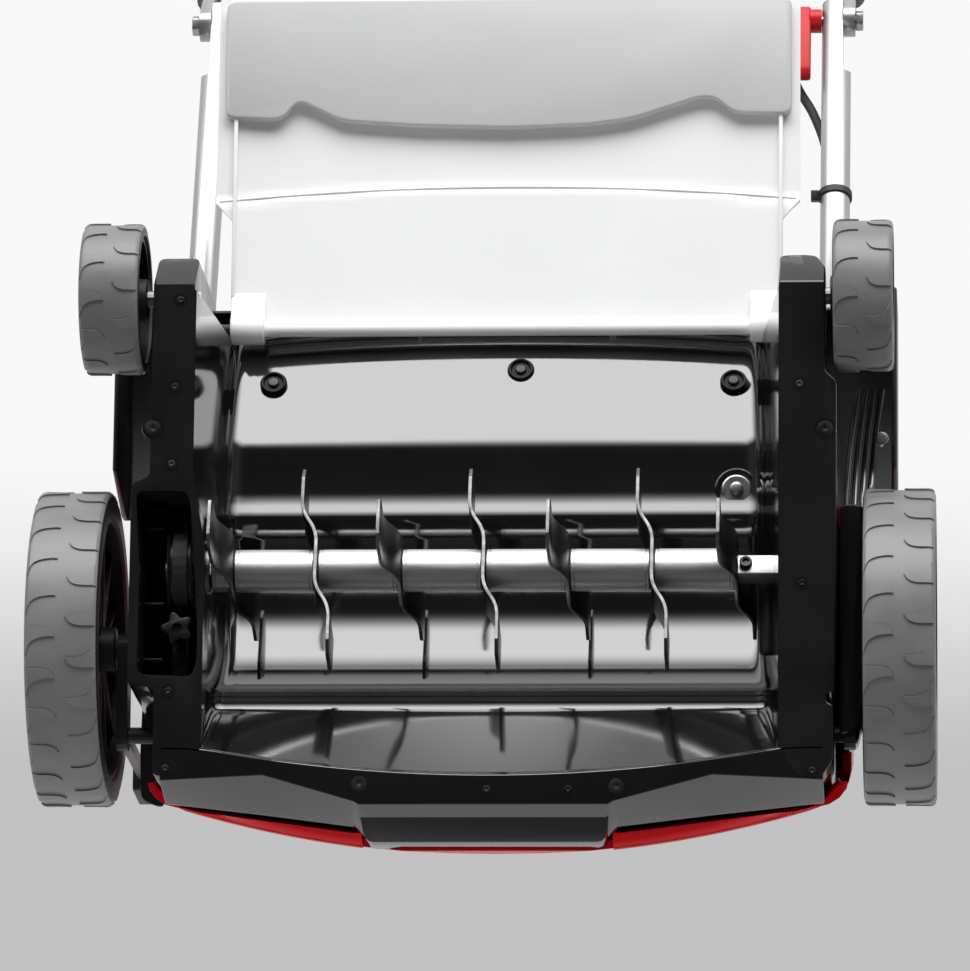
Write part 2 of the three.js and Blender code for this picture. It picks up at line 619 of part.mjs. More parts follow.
/** The flap: a panel with side skirts and a thick lip, on two knuckles. */
function flap() {
  const { y, z, knuckle, step, lip, end } = FLAP;
  const top = z + 7;
  const plan = [
    [FLAP_NARROW.left, y + 11], [FLAP_NARROW.left, step - 12], [FLAP_WIDE.left, step],
    [FLAP_WIDE.left, end - 20], [FLAP_WIDE.left - 20, end], [FLAP_WIDE.right + 20, end],
    [FLAP_WIDE.right, end - 20], [FLAP_WIDE.right, step], [FLAP_NARROW.right, step - 12],
    [FLAP_NARROW.right, y + 11],
  ];
  const panel = alongZ(plan, top - 4, top);
  const thickLip = block([FLAP_WIDE.right + 6, lip, top - 12], [FLAP_WIDE.left - 6, end - 20, top]);
  const skirt = (x0) => block([x0, y + 24, top - 10], [x0 + 3, lip + 2, top]);
  const knuckles = [[168, FLAP_NARROW.left - 0.5], [FLAP_NARROW.right + 3, -184]].map(([x0, x1]) => union(
    barX(knuckle, x0, x1, y, z), block([x0, y, top - 8], [x1, y + 30, top])));
  const bores = barX(FLAP.rod + GAP, -300, 300, y, z);
  const skirts = [skirt(FLAP_NARROW.left - 3), skirt(FLAP_NARROW.right)];
  return union(panel, thickLip, ...skirts, ...knuckles).subtract(bores);
}

piece('rear_flap', flap(), LIGHT_GREY);

// ---------------------------------------------------------------- handle

/** A straight bar between two points. */
function bar(from, to, radius, sides = 12) {
  const start = new THREE.Vector3(...from);
  const axis = new THREE.Vector3(...to).sub(start);
  const geometry = new THREE.CylinderGeometry(radius, radius, axis.length(), sides);
  const up = new THREE.Vector3(0, 1, 0);
  const turn = new THREE.Quaternion().setFromUnitVectors(up, axis.clone().normalize());
  geometry.applyQuaternion(turn);
  const centre = start.addScaledVector(axis, 0.5);
  return solid(geometry.translate(centre.x, centre.y, centre.z));
}

/** A point along the lower tube at a distance from its foot, on one side. */
function onLowerTube(side, distance) {
  return [
    DECK_X + side * TUBE_SPAN,
    TUBE_FOOT.y + distance * Math.cos(TUBE_SLOPE),
    TUBE_FOOT.z + distance * Math.sin(TUBE_SLOPE),
  ];
}

/** A point along the upper handle's leg at a distance from the fold, moved inwards and square to the leg. */
function onLeg(side, distance, inward = 0, lift = 0) {
  const [cos, sin] = [Math.cos(LEG_SLOPE), Math.sin(LEG_SLOPE)];
  return [
    DECK_X + side * (LEG_SPAN - inward),
    PIVOT.y + distance * cos - lift * sin,
    PIVOT.z + distance * sin + lift * cos,
  ];
}

/** Low and high x between two distances outwards from a lower tube's centre. */
function outwardSpan(side, near, far) {
  const at = (distance) => DECK_X + side * (TUBE_SPAN + distance);
  return [Math.min(at(near), at(far)), Math.max(at(near), at(far))];
}

/** A YZ outline given along and square to a direction from the fold's centre. */
function fromPivot(outline, slope) {
  const [cos, sin] = [Math.cos(slope), Math.sin(slope)];
  return outline.map(([u, v]) => [PIVOT.y + u * cos - v * sin, PIVOT.z + u * sin + v * cos]);
}

const LOWER_LENGTH = (PIVOT.y - TUBE_FOOT.y) / Math.cos(TUBE_SLOPE);
const FLAT_LENGTH = 46; // of the tube's flat ahead of the fold, which the folded leg's foot passes
const FOOT_LENGTH = 66; // of the leg's flat foot

/** A lower tube, flattened on its outer side where the upper handle's leg lies against it. */
function lowerTube(side) {
  const tube = bar(onLowerTube(side, 0), onLowerTube(side, LOWER_LENGTH + 14), TUBE_R, 16);
  const [x0, x1] = outwardSpan(side, 5, 30);
  const flat = block([x0, PIVOT.y - FLAT_LENGTH, PIVOT.z - 60], [x1, PIVOT.y + 60, PIVOT.z + 60]);
  const [b0, b1] = outwardSpan(side, -40, 40);
  return tube.subtract(union(flat, barX(CLAMP_BOLT_R + GAP, b0, b1, PIVOT.y, PIVOT.z, 12)));
}

/** The bracket that clamps a lower tube to the rear cover. */
function tubeSocket(side) {
  const [x0, x1] = outwardSpan(side, -17, 17);
  const foot = REAR_COVER.top + GAP;
  const saddle = alongX([[196, foot], [262, foot], [262, 288], [240, 290], [196, 272]], x0, x1);
  return saddle.subtract(bar(onLowerTube(side, -GAP), onLowerTube(side, 120), TUBE_R + GAP, 16));
}

/** A clamp bolt with a hexagon head on the outer side. */
function clampBolt(side) {
  const [b0, b1] = outwardSpan(side, -19, 16);
  const [h0, h1] = outwardSpan(side, 14 + GAP, 20);
  return union(barX(CLAMP_BOLT_R, b0, b1, PIVOT.y, PIVOT.z, 12), barX(8, h0, h1, PIVOT.y, PIVOT.z, 6));
}

/** A quick-release lever on the inner end of a clamp bolt, lying along the lower tube. */
function clampLever(side) {
  const [c0, c1] = outwardSpan(side, -20, -TUBE_R - GAP);
  const collar = ringX(CLAMP_BOLT_R + GAP, 9, c0, c1, PIVOT.y, PIVOT.z, 16);
  const paddle = [[10, -8], [10, 8], [-50, 6.5], [-56, 0], [-50, -6.5]];
  const [a0, a1] = outwardSpan(side, -30, -19 - GAP);
  return union(collar, alongX(fromPivot(paddle, TUBE_SLOPE), a0, a1));
}

for (const [name, side] of [['left', 1], ['right', -1]]) {
  piece(`lower_tube_${name}`, lowerTube(side), TUBE_GREY);
  piece(`tube_socket_${name}`, tubeSocket(side), BLACK_MATT);
  piece(`clamp_bolt_${name}`, clampBolt(side), STEEL);
  piece(`clamp_lever_${name}`, clampLever(side), RED);
}

/** The upper handle: a U-shaped tube whose flat feet lie against the lower tubes. */
function upperHandle() {
  const cross = onLeg(1, LEG_LENGTH, CORNER_R);
  let frame = barX(TUBE_R, 2 * DECK_X - cross[0] - 1, cross[0] + 1, cross[1], cross[2], 12);
  for (const side of [-1, 1]) {
    const bend = Array.from({ length: 6 }, (_, i) => {
      const angle = (Math.PI / 2) * (i / 5);
      return onLeg(side, LEG_LENGTH - CORNER_R * (1 - Math.sin(angle)), CORNER_R * (1 - Math.cos(angle)));
    });
    const leg = bar(onLeg(side, FOOT_LENGTH - 18), onLeg(side, LEG_LENGTH - CORNER_R + 1), TUBE_R);
    const [x0, x1] = outwardSpan(side, 5 + GAP, 14);
    const foot = union(
      alongX(fromPivot([[0, -12], [FOOT_LENGTH, -9], [FOOT_LENGTH, 9], [0, 12]], LEG_SLOPE), x0, x1),
      barX(12, x0, x1, PIVOT.y, PIVOT.z));
    const [b0, b1] = outwardSpan(side, -30, 30);
    const [p0, p1] = outwardSpan(side, -10, 14);
    const pin = onLeg(side, BAIL.pivot);
    frame = union(frame, leg, foot, wire(bend, TUBE_R, 6, 12)).subtract(union(
      barX(CLAMP_BOLT_R + GAP, b0, b1, PIVOT.y, PIVOT.z, 12),
      barX(BAIL.radius + GAP, p0, p1, pin[1], pin[2], 12)));
  }
  return frame;
}

piece('upper_handle', upperHandle(), TUBE_GREY);

const [, GRIP_Y, GRIP_Z] = onLeg(1, LEG_LENGTH);
const GRIP_BORE = TUBE_R + 2 * GAP;
piece('handle_grip',
  ringX(GRIP_BORE, GRIP_BORE + GRIP.thick, GRIP.right, GRIP.left, GRIP_Y, GRIP_Z, 20), BLACK_MATT);

/** The bail: a wire loop hinged in both legs, standing off ahead of the cross bar. */
function bail() {
  const { pivot, reach, span, radius } = BAIL;
  const [, y, z] = onLeg(1, pivot);
  const slope = LEG_SLOPE + BAIL_RISE;
  const top = [y + reach * Math.cos(slope), z + reach * Math.sin(slope)];
  const at = (side, outward, end) => [DECK_X + side * (span + outward), ...end];
  const corner = ([x, cy, cz]) => solid(new THREE.SphereGeometry(radius, 8, 5).translate(x, cy, cz));
  const sides = [-1, 1].map((side) => union(
    bar(at(side, 0, [y, z]), at(side, 16, [y, z]), radius, 8),
    bar(at(side, 0, [y, z]), at(side, 0, top), radius, 8),
    corner(at(side, 0, [y, z])), corner(at(side, 0, top))));
  return union(...sides, bar(at(-1, 0, top), at(1, 0, top), radius, 8));
}

piece('bail', bail(), BLACK_MATT);

/** The switch box under the cross bar, with a recessed mains inlet below and a well for its button. */
function switchBox() {
  const outline = [[-24, -46], [SWITCH.rear, -46], [SWITCH.rear, 6], [-14, 6], [-24, -6]];
  const body = alongX(outline.map(([y, z]) => [GRIP_Y + y, GRIP_Z + z]), SWITCH.right, SWITCH.left);
  const tubeWay = barX(TUBE_R + GAP, -300, 0, GRIP_Y, GRIP_Z, 12);
  const inlet = barZ(13, GRIP_Z - 60, GRIP_Z - 24, -92, GRIP_Y - 2);
  return body.subtract(union(tubeWay, inlet, buttonBlock(GAP, BUTTON.travelRoom)));
}

/** The button's block, grown by a clearance and with room behind it. */
function buttonBlock(grow, room) {
  const { x, z, width, height, proud, deep } = BUTTON;
  return block(
    [x - width / 2 - grow, GRIP_Y + SWITCH.rear - deep - room, GRIP_Z + z - height / 2 - grow],
    [x + width / 2 + grow, GRIP_Y + SWITCH.rear + proud + grow, GRIP_Z + z + height / 2 + grow]);
}

piece('switch_box', switchBox(), BLACK_MATT);
piece('start_button', buttonBlock(0, 0), RED);

// ---------------------------------------------------------------- cable

const CABLE_STEPS = 48;
const LOWER_ROUTE = [
  [-214, 119.6, 258], [-214, 134, 258], [-216, 160, 262], [-218, 200, 272], [-220, 255, 289],
  [-231, 310, 309], [-240, 350, 322.5], [-242, 387, 334.5], [-237, 425, 349], [-226, 462, 362.5],
  [-212, 490, 372], [-206.5, 508, 374.6], [-205, 521, 374.8], [-201.5, 531.5, 374.5],
  [-196, 538, PIVOT.z], [-190, PIVOT.y, PIVOT.z], [-187, PIVOT.y, PIVOT.z],
];
const UPPER_ROUTE = [
  [-186.6, PIVOT.y, PIVOT.z], [-183.5, PIVOT.y, PIVOT.z], [-177.5, 542.5, 376.5], [-175, 549, 383],
  [-178, 558, 394], [-187, 570, 410], onLeg(-1, 75, 44), onLeg(-1, 108, 28), onLeg(-1, 145, 19),
  onLeg(-1, 190, 16), onLeg(-1, 320, 16), onLeg(-1, 480, 16), onLeg(-1, 540, 15, -9),
  onLeg(-1, 590, 22, -17), onLeg(-1, 640, 42, -24), [SWITCH.right - 18, GRIP_Y - 12, GRIP_Z - 37],
  [SWITCH.right - 1, GRIP_Y - 10, GRIP_Z - 35],
];

piece('motor_cable_lower', wire(LOWER_ROUTE, CABLE_R, CABLE_STEPS, 8), BELT_BLACK);
piece('motor_cable_upper', wire(UPPER_ROUTE, CABLE_R, CABLE_STEPS, 8), BELT_BLACK);

/** The tie that holds the cable on the right lower tube. */
function cableTie() {
  const along = 194;
  const [x, y, z] = onLowerTube(-1, along);
  const lift = TUBE_R + CABLE_R + 1;
  const outer = union(
    bar(onLowerTube(-1, along - 2.5), onLowerTube(-1, along + 2.5), TUBE_R + 1.6, 20),
    block([x - 5.5, y - 3 - lift * 0.34, z + 6], [x + 5.5, y + 3 - lift * 0.34, z + lift + 6]));
  const head = block([x + 11, y - 4, z - 5], [x + 18, y + 4, z + 3]);
  const holes = union(
    bar(onLowerTube(-1, along - 30), onLowerTube(-1, along + 30), TUBE_R + GAP, 16),
    wire(LOWER_ROUTE, CABLE_R + GAP, CABLE_STEPS, 8));
  return union(outer, head).subtract(holes);
}

piece('cable_tie', cableTie(), BLACK_MATT);

// ---------------------------------------------------------------- place

const REAR_EDGE = GRIP_Y + SWITCH.rear + BUTTON.proud;
const FRONT_EDGE = HOOD.front - HOOD.bow;
machine.position.y = -(FRONT_EDGE + REAR_EDGE) / 2;

export default machine;
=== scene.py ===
"""Looks of an electric lawn scarifier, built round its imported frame.

Sizes are millimetres: X towards the belt drive, Y from the front axle line towards the operator, Z up
from the ground. Each sub-assembly is a class that models its pieces, dresses them and hangs them on
the body that carries them.
"""

import json
import logging
import math
from dataclasses import dataclass, field
from enum import Enum
from typing import Callable, Sequence

import bpy
from mathutils import Matrix, Vector


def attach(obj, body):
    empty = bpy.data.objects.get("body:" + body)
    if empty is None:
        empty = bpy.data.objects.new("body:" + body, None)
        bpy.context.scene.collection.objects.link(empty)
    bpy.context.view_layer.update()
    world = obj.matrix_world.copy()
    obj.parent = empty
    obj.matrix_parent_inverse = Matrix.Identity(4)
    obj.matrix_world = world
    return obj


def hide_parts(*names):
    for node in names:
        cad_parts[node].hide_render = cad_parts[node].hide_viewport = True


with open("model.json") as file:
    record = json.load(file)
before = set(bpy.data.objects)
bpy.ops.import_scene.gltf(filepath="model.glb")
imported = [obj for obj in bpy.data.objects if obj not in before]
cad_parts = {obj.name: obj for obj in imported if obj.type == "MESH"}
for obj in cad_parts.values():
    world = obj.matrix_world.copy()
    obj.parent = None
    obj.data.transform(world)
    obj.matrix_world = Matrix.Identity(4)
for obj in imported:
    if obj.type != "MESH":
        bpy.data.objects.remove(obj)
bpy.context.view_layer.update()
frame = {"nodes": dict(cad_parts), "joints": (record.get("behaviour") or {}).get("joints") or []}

Point = tuple[float, float, float]
Flat = tuple[float, float]
Colour = tuple[float, float, float]

SCALE = 0.001
JOINTS = {joint["name"]: joint for joint in frame["joints"]}
AXLE_Y = JOINTS["front_left_spin"]["pos_m"][1]
DECK_X = -8.5
DECK_HALF = 198.0
ROLLER_Y = 51.0
ROLLER_Z = 88.0
TURN = 2 * math.pi
WELD = SCALE * 0.01
LOG = logging.getLogger("scarifier")


class Side(Enum):
    """A side of the machine, as the sign of its X."""

    LEFT = 1
    RIGHT = -1

    @property
    def word(self) -> str:
        """The side's name in node names."""
        return self.name.lower()


class Body(Enum):
    """The bodies that pieces hang on."""

    CHASSIS = "chassis"
    ROLLER = "roller"
    CRANK = "front_axle"
    FLAP = "flap"
    HANDLE = "upper_handle"
    BAIL = "bail"
    BUTTON = "start_button"


# ------------------------------------------------------------------------------- modelling tools


def mm(x: float, y: float, z: float) -> Vector:
    """A place on the machine in metres, in the frame."""
    return Vector((x * SCALE, AXLE_Y + y * SCALE, z * SCALE))


def span(start: float, end: float, count: int) -> list[float]:
    """Evenly spaced values from start to end, both included."""
    return [start + (end - start) * i / (count - 1) for i in range(count)]


def between(points: Sequence[Flat], value: float) -> float:
    """Reads a bent line at a value.

    Args:
        points: (value, result) pairs, sorted by value.
        value: where to read it.

    Returns:
        The result there, held level past both ends.
    """
    if value <= points[0][0]:
        return points[0][1]
    for (a, low), (b, high) in zip(points, points[1:]):
        if value <= b:
            return low + (high - low) * (value - a) / (b - a)
    return points[-1][1]


def arc(y: float, z: float, radius: float, start: float, end: float, count: int) -> list[Flat]:
    """Points of an arc, at angles in degrees from the first axis towards the second."""
    angles = [math.radians(a) for a in span(start, end, count)]
    return [(y + radius * math.cos(a), z + radius * math.sin(a)) for a in angles]


def softened(points: Sequence[Flat], radius: float, count: int = 4, closed: bool = True) -> list[Flat]:
    """An outline with its corners rounded.

    Args:
        points: the outline's corners.
        radius: how far from a corner its rounding starts, at most.
        count: points on each rounding.
        closed: whether the last point joins the first.

    Returns:
        The rounded outline.
    """
    made: list[Flat] = []
    total = len(points)
    for i, point in enumerate(points):
        if not closed and i in (0, total - 1):
            made.append(tuple(point))
            continue
        corner = Vector(point)
        before, after = Vector(points[i - 1]) - corner, Vector(points[(i + 1) % total]) - corner
        reach = min(radius, before.length * 0.45, after.length * 0.45)
        start, end = corner + before.normalized() * reach, corner + after.normalized() * reach
        for t in span(0, 1, count):
            bent = start * (1 - t) ** 2 + corner * (2 * t * (1 - t)) + end * t * t
            made.append((bent.x, bent.y))
    return made


def deselect() -> None:
    """Leaves nothing selected."""
    bpy.ops.object.select_all(action="DESELECT")


def only(piece: bpy.types.Object) -> bpy.types.Object:
    """Makes a piece the one that is selected and active.

    Args:
        piece: the piece to work on.

    Returns:
        The same piece.
    """
    deselect()
    piece.select_set(True)
    bpy.context.view_layer.objects.active = piece
    return piece


def settle(piece: bpy.types.Object) -> None:
    """Puts a piece's place, turn and size in its mesh."""
    only(piece)
    bpy.ops.object.transform_apply(location=True, rotation=True, scale=True)


def line(name: str, points: Sequence[Vector], closed: bool) -> bpy.types.Object:
    """Draws a line of edges by extruding one point, and stays in edit mode with all of it selected.

    Args:
        name: the piece's name.
        points: places along the line, in metres.
        closed: whether the line comes back to its start.

    Returns:
        The new piece.
    """
    deselect()
    bpy.ops.mesh.primitive_plane_add(size=SCALE, location=points[0])
    piece = bpy.context.object
    piece.name = name
    settle(piece)
    bpy.ops.object.mode_set(mode="EDIT")
    bpy.ops.mesh.select_all(action="SELECT")
    bpy.ops.mesh.merge(type="CENTER")
    route = list(points) + ([points[0]] if closed else [])
    for last, point in zip(route, route[1:]):
        bpy.ops.mesh.extrude_region_move(TRANSFORM_OT_translate={"value": Vector(point) - Vector(last)})
    bpy.ops.mesh.select_all(action="SELECT")
    bpy.ops.mesh.remove_doubles(threshold=SCALE * 0.002)
    return piece


def outward() -> None:
    """Turns the faces of the piece in edit mode outwards and leaves edit mode."""
    bpy.ops.mesh.select_all(action="SELECT")
    bpy.ops.mesh.normals_make_consistent(inside=False)
    bpy.ops.object.mode_set(mode="OBJECT")


def prism(name: str, points: Sequence[Vector], push: Vector) -> bpy.types.Object:
    """A closed outline pushed along a straight line.

    Args:
        name: the piece's name.
        points: the outline's corners, in metres.
        push: how far and which way it is pushed, in metres.

    Returns:
        The new piece, a closed solid.
    """
    piece = line(name, points, closed=True)
    bpy.ops.mesh.edge_face_add()
    bpy.ops.mesh.extrude_region_move(TRANSFORM_OT_translate={"value": push})
    outward()
    return piece


def along_x(name: str, outline: Sequence[Flat], x0: float, x1: float) -> bpy.types.Object:
    """A (y, z) outline pushed from x0 to x1."""
    return prism(name, [mm(x0, y, z) for y, z in outline], Vector(((x1 - x0) * SCALE, 0, 0)))


def along_z(name: str, outline: Sequence[Flat], z0: float, z1: float) -> bpy.types.Object:
    """An (x, y) outline pushed from z0 to z1."""
    return prism(name, [mm(x, y, z0) for x, y in outline], Vector((0, 0, (z1 - z0) * SCALE)))


def lathe(name: str, profile: Sequence[Vector], centre: Vector, axis: Vector, closed: bool,
          steps: int = 48) -> bpy.types.Object:
    """A line turned once round an axis.

    Args:
        name: the piece's name.
        profile: places along the line, in metres. An open one starts and ends on the axis.
        centre: a point on the axis.
        axis: the axis's direction.
        closed: whether the profile is a closed loop clear of the axis.
        steps: how many stations the turn has.

    Returns:
        The new piece.
    """
    piece = line(name, profile, closed)
    bpy.ops.mesh.spin(steps=steps, angle=TURN, center=centre, axis=axis)
    bpy.ops.mesh.select_all(action="SELECT")
    bpy.ops.mesh.remove_doubles(threshold=WELD)
    outward()
    return piece


def turned_x(name: str, profile: Sequence[Flat], y: float, z: float, steps: int = 48) -> bpy.types.Object:
    """A profile turned about a line along X; it is a closed ring if it keeps off that line.

    Args:
        name: the piece's name.
        profile: (x, radius) pairs.
        y: depth of the line.
        z: height of the line.
        steps: how many stations the turn has.

    Returns:
        The new piece.
    """
    closed = min(radius for _, radius in profile) > 0
    places = [mm(x, y, z + radius) for x, radius in profile]
    return lathe(name, places, mm(0, y, z), Vector((1, 0, 0)), closed, steps)


def turned_z(name: str, profile: Sequence[Flat], x: float, y: float, steps: int = 32) -> bpy.types.Object:
    """A profile turned about a line along Z; it is a closed ring if it keeps off that line.

    Args:
        name: the piece's name.
        profile: (radius, z) pairs.
        x: place of the line across the machine.
        y: depth of the line.
        steps: how many stations the turn has.

    Returns:
        The new piece.
    """
    closed = min(radius for radius, _ in profile) > 0
    places = [mm(x + radius, y, z) for radius, z in profile]
    return lathe(name, places, mm(x, y, 0), Vector((0, 0, 1)), closed, steps)


def sheet(name: str, across: int, down: int, place: Callable[[float, float], Vector]) -> bpy.types.Object:
    """A grid whose points are put in place by a rule.

    Args:
        name: the piece's name.
        across: points in the first direction.
        down: points in the second direction.
        place: gives a point in metres from its two shares, each 0 to 1.

    Returns:
        The new piece, an open sheet.
    """
    deselect()
    bpy.ops.mesh.primitive_grid_add(x_subdivisions=across - 1, y_subdivisions=down - 1, size=1)
    piece = bpy.context.object
    piece.name = name
    for vertex in piece.data.vertices:
        vertex.co = place(min(max(vertex.co.x + 0.5, 0), 1), min(max(vertex.co.y + 0.5, 0), 1))
    return piece


def merged(piece: bpy.types.Object) -> bpy.types.Object:
    """Joins points that lie together and turns the faces outwards.

    Args:
        piece: a closed mesh.

    Returns:
        The same piece.
    """
    only(piece)
    bpy.ops.object.mode_set(mode="EDIT")
    bpy.ops.mesh.select_all(action="SELECT")
    bpy.ops.mesh.remove_doubles(threshold=WELD)
    outward()
    return piece


def flipped(piece: bpy.types.Object) -> bpy.types.Object:
    """Turns every face of an open sheet over.

    Args:
        piece: the sheet.

    Returns:
        The same piece.
    """
    only(piece)
    bpy.ops.object.mode_set(mode="EDIT")
    bpy.ops.mesh.select_all(action="SELECT")
    bpy.ops.mesh.flip_normals()
    bpy.ops.object.mode_set(mode="OBJECT")
    return piece


def shaped(piece: bpy.types.Object, kind: str, **settings: object) -> bpy.types.Object:
    """Adds a modifier and applies it.

    Args:
        piece: the piece to shape.
        kind: the modifier's kind.
        **settings: the modifier's settings by name.

    Returns:
        The same piece.
    """
    only(piece)
    modifier = piece.modifiers.new(kind.lower(), kind)
    for setting, value in settings.items():
        setattr(modifier, setting, value)
    bpy.ops.object.modifier_apply(modifier=modifier.name)
    return piece


def thick(piece: bpy.types.Object, wall: float, offset: float = -1) -> bpy.types.Object:
    """Gives an open sheet a wall; offset -1 puts it behind the faces and 1 in front."""
    return shaped(piece, "SOLIDIFY", thickness=wall * SCALE, offset=offset, use_even_offset=True)


def rounded(piece: bpy.types.Object, width: float, segments: int = 3,
            angle: float = 30) -> bpy.types.Object:
    """Rounds the edges that turn by more than an angle."""
    return shaped(piece, "BEVEL", width=width * SCALE, segments=segments, limit_method="ANGLE",
                  angle_limit=math.radians(angle), use_clamp_overlap=True, harden_normals=False)


def cut(piece: bpy.types.Object, *tools: bpy.types.Object) -> bpy.types.Object:
    """Takes tools out of a piece and removes the tools.

    Args:
        piece: the piece that is cut.
        *tools: the solids that are taken out.

    Returns:
        The cut piece.
    """
    for tool in tools:
        shaped(piece, "BOOLEAN", operation="DIFFERENCE", object=tool, solver="EXACT")
        bpy.data.objects.remove(tool)
    return piece


def common(piece: bpy.types.Object, tool: bpy.types.Object) -> bpy.types.Object:
    """Keeps what a piece shares with a tool and removes the tool.

    Args:
        piece: the piece that is trimmed.
        tool: the solid that it is trimmed to.

    Returns:
        The trimmed piece.
    """
    shaped(piece, "BOOLEAN", operation="INTERSECT", object=tool, solver="EXACT")
    bpy.data.objects.remove(tool)
    return piece


def joined(name: str, parts: Sequence[bpy.types.Object]) -> bpy.types.Object:
    """Makes one piece of several meshes.

    Args:
        name: the whole piece's name.
        parts: the meshes, the first of which takes in the others.

    Returns:
        The whole piece.
    """
    deselect()
    for part in parts:
        part.select_set(True)
    bpy.context.view_layer.objects.active = parts[0]
    bpy.ops.object.join()
    parts[0].name = name
    return parts[0]


def rod(name: str, points: Sequence[Vector], radius: float, smooth: bool = True,
        sides: int = 5, steps: int = 10) -> bpy.types.Object:
    """A round rod or lead along a route.

    Args:
        name: the piece's name.
        points: the route's places, in metres.
        radius: the rod's radius in millimetres.
        smooth: whether the route runs on in curves between its places.
        sides: sides of a quarter of its section.
        steps: stations between two places.

    Returns:
        The rod as a closed mesh.
    """
    deselect()
    curve = bpy.data.curves.new(name, "CURVE")
    curve.dimensions = "3D"
    curve.bevel_depth = radius * SCALE
    curve.bevel_resolution = sides
    curve.use_fill_caps = True
    curve.resolution_u = steps
    spline = curve.splines.new("BEZIER" if smooth else "POLY")
    if smooth:
        spline.bezier_points.add(len(points) - 1)
        for knot, point in zip(spline.bezier_points, points):
            knot.co = point
            knot.handle_left_type = knot.handle_right_type = "AUTO"
    else:
        spline.points.add(len(points) - 1)
        for knot, point in zip(spline.points, points):
            knot.co = (*point, 1)
    piece = bpy.data.objects.new(name, curve)
    bpy.context.scene.collection.objects.link(piece)
    only(piece)
    bpy.ops.object.convert(target="MESH")
    return merged(bpy.context.object)


def repeated(piece: bpy.types.Object, count: int, centre: Vector, axis: Vector) -> bpy.types.Object:
    """Copies a mesh evenly round an axis, within its own piece.

    Args:
        piece: the piece to repeat.
        count: how many there are in the end.
        centre: a point on the axis.
        axis: the axis's direction.

    Returns:
        The same piece.
    """
    only(piece)
    bpy.ops.object.mode_set(mode="EDIT")
    bpy.ops.mesh.select_all(action="SELECT")
    swept = TURN * (count - 1) / count
    bpy.ops.mesh.spin(steps=count - 1, angle=swept, center=centre, axis=axis, dupli=True)
    bpy.ops.object.mode_set(mode="OBJECT")
    return piece


def twin(piece: bpy.types.Object, name: str, move: Matrix) -> bpy.types.Object:
    """A copy of a piece with its own mesh, put in another place.

    Args:
        piece: the piece to copy.
        name: the copy's name.
        move: how the copy's mesh is moved.

    Returns:
        The copy.
    """
    copy = piece.copy()
    copy.data = piece.data.copy()
    copy.name = name
    bpy.context.scene.collection.objects.link(copy)
    copy.data.transform(move)
    return copy


def about(point: Vector, turn: Matrix) -> Matrix:
    """A turn round a point."""
    return Matrix.Translation(point) @ turn @ Matrix.Translation(-point)


def finish_faces(piece: bpy.types.Object, slot: int, test: Callable[[Vector, Vector], bool]) -> None:
    """Gives some faces another of the piece's finishes.

    Args:
        piece: the dressed piece.
        slot: which of its finishes they get.
        test: says from a face's centre and normal whether it is one of them.
    """
    for face in piece.data.polygons:
        if test(face.center, face.normal):
            face.material_index = slot


# ------------------------------------------------------------------------------- finishes


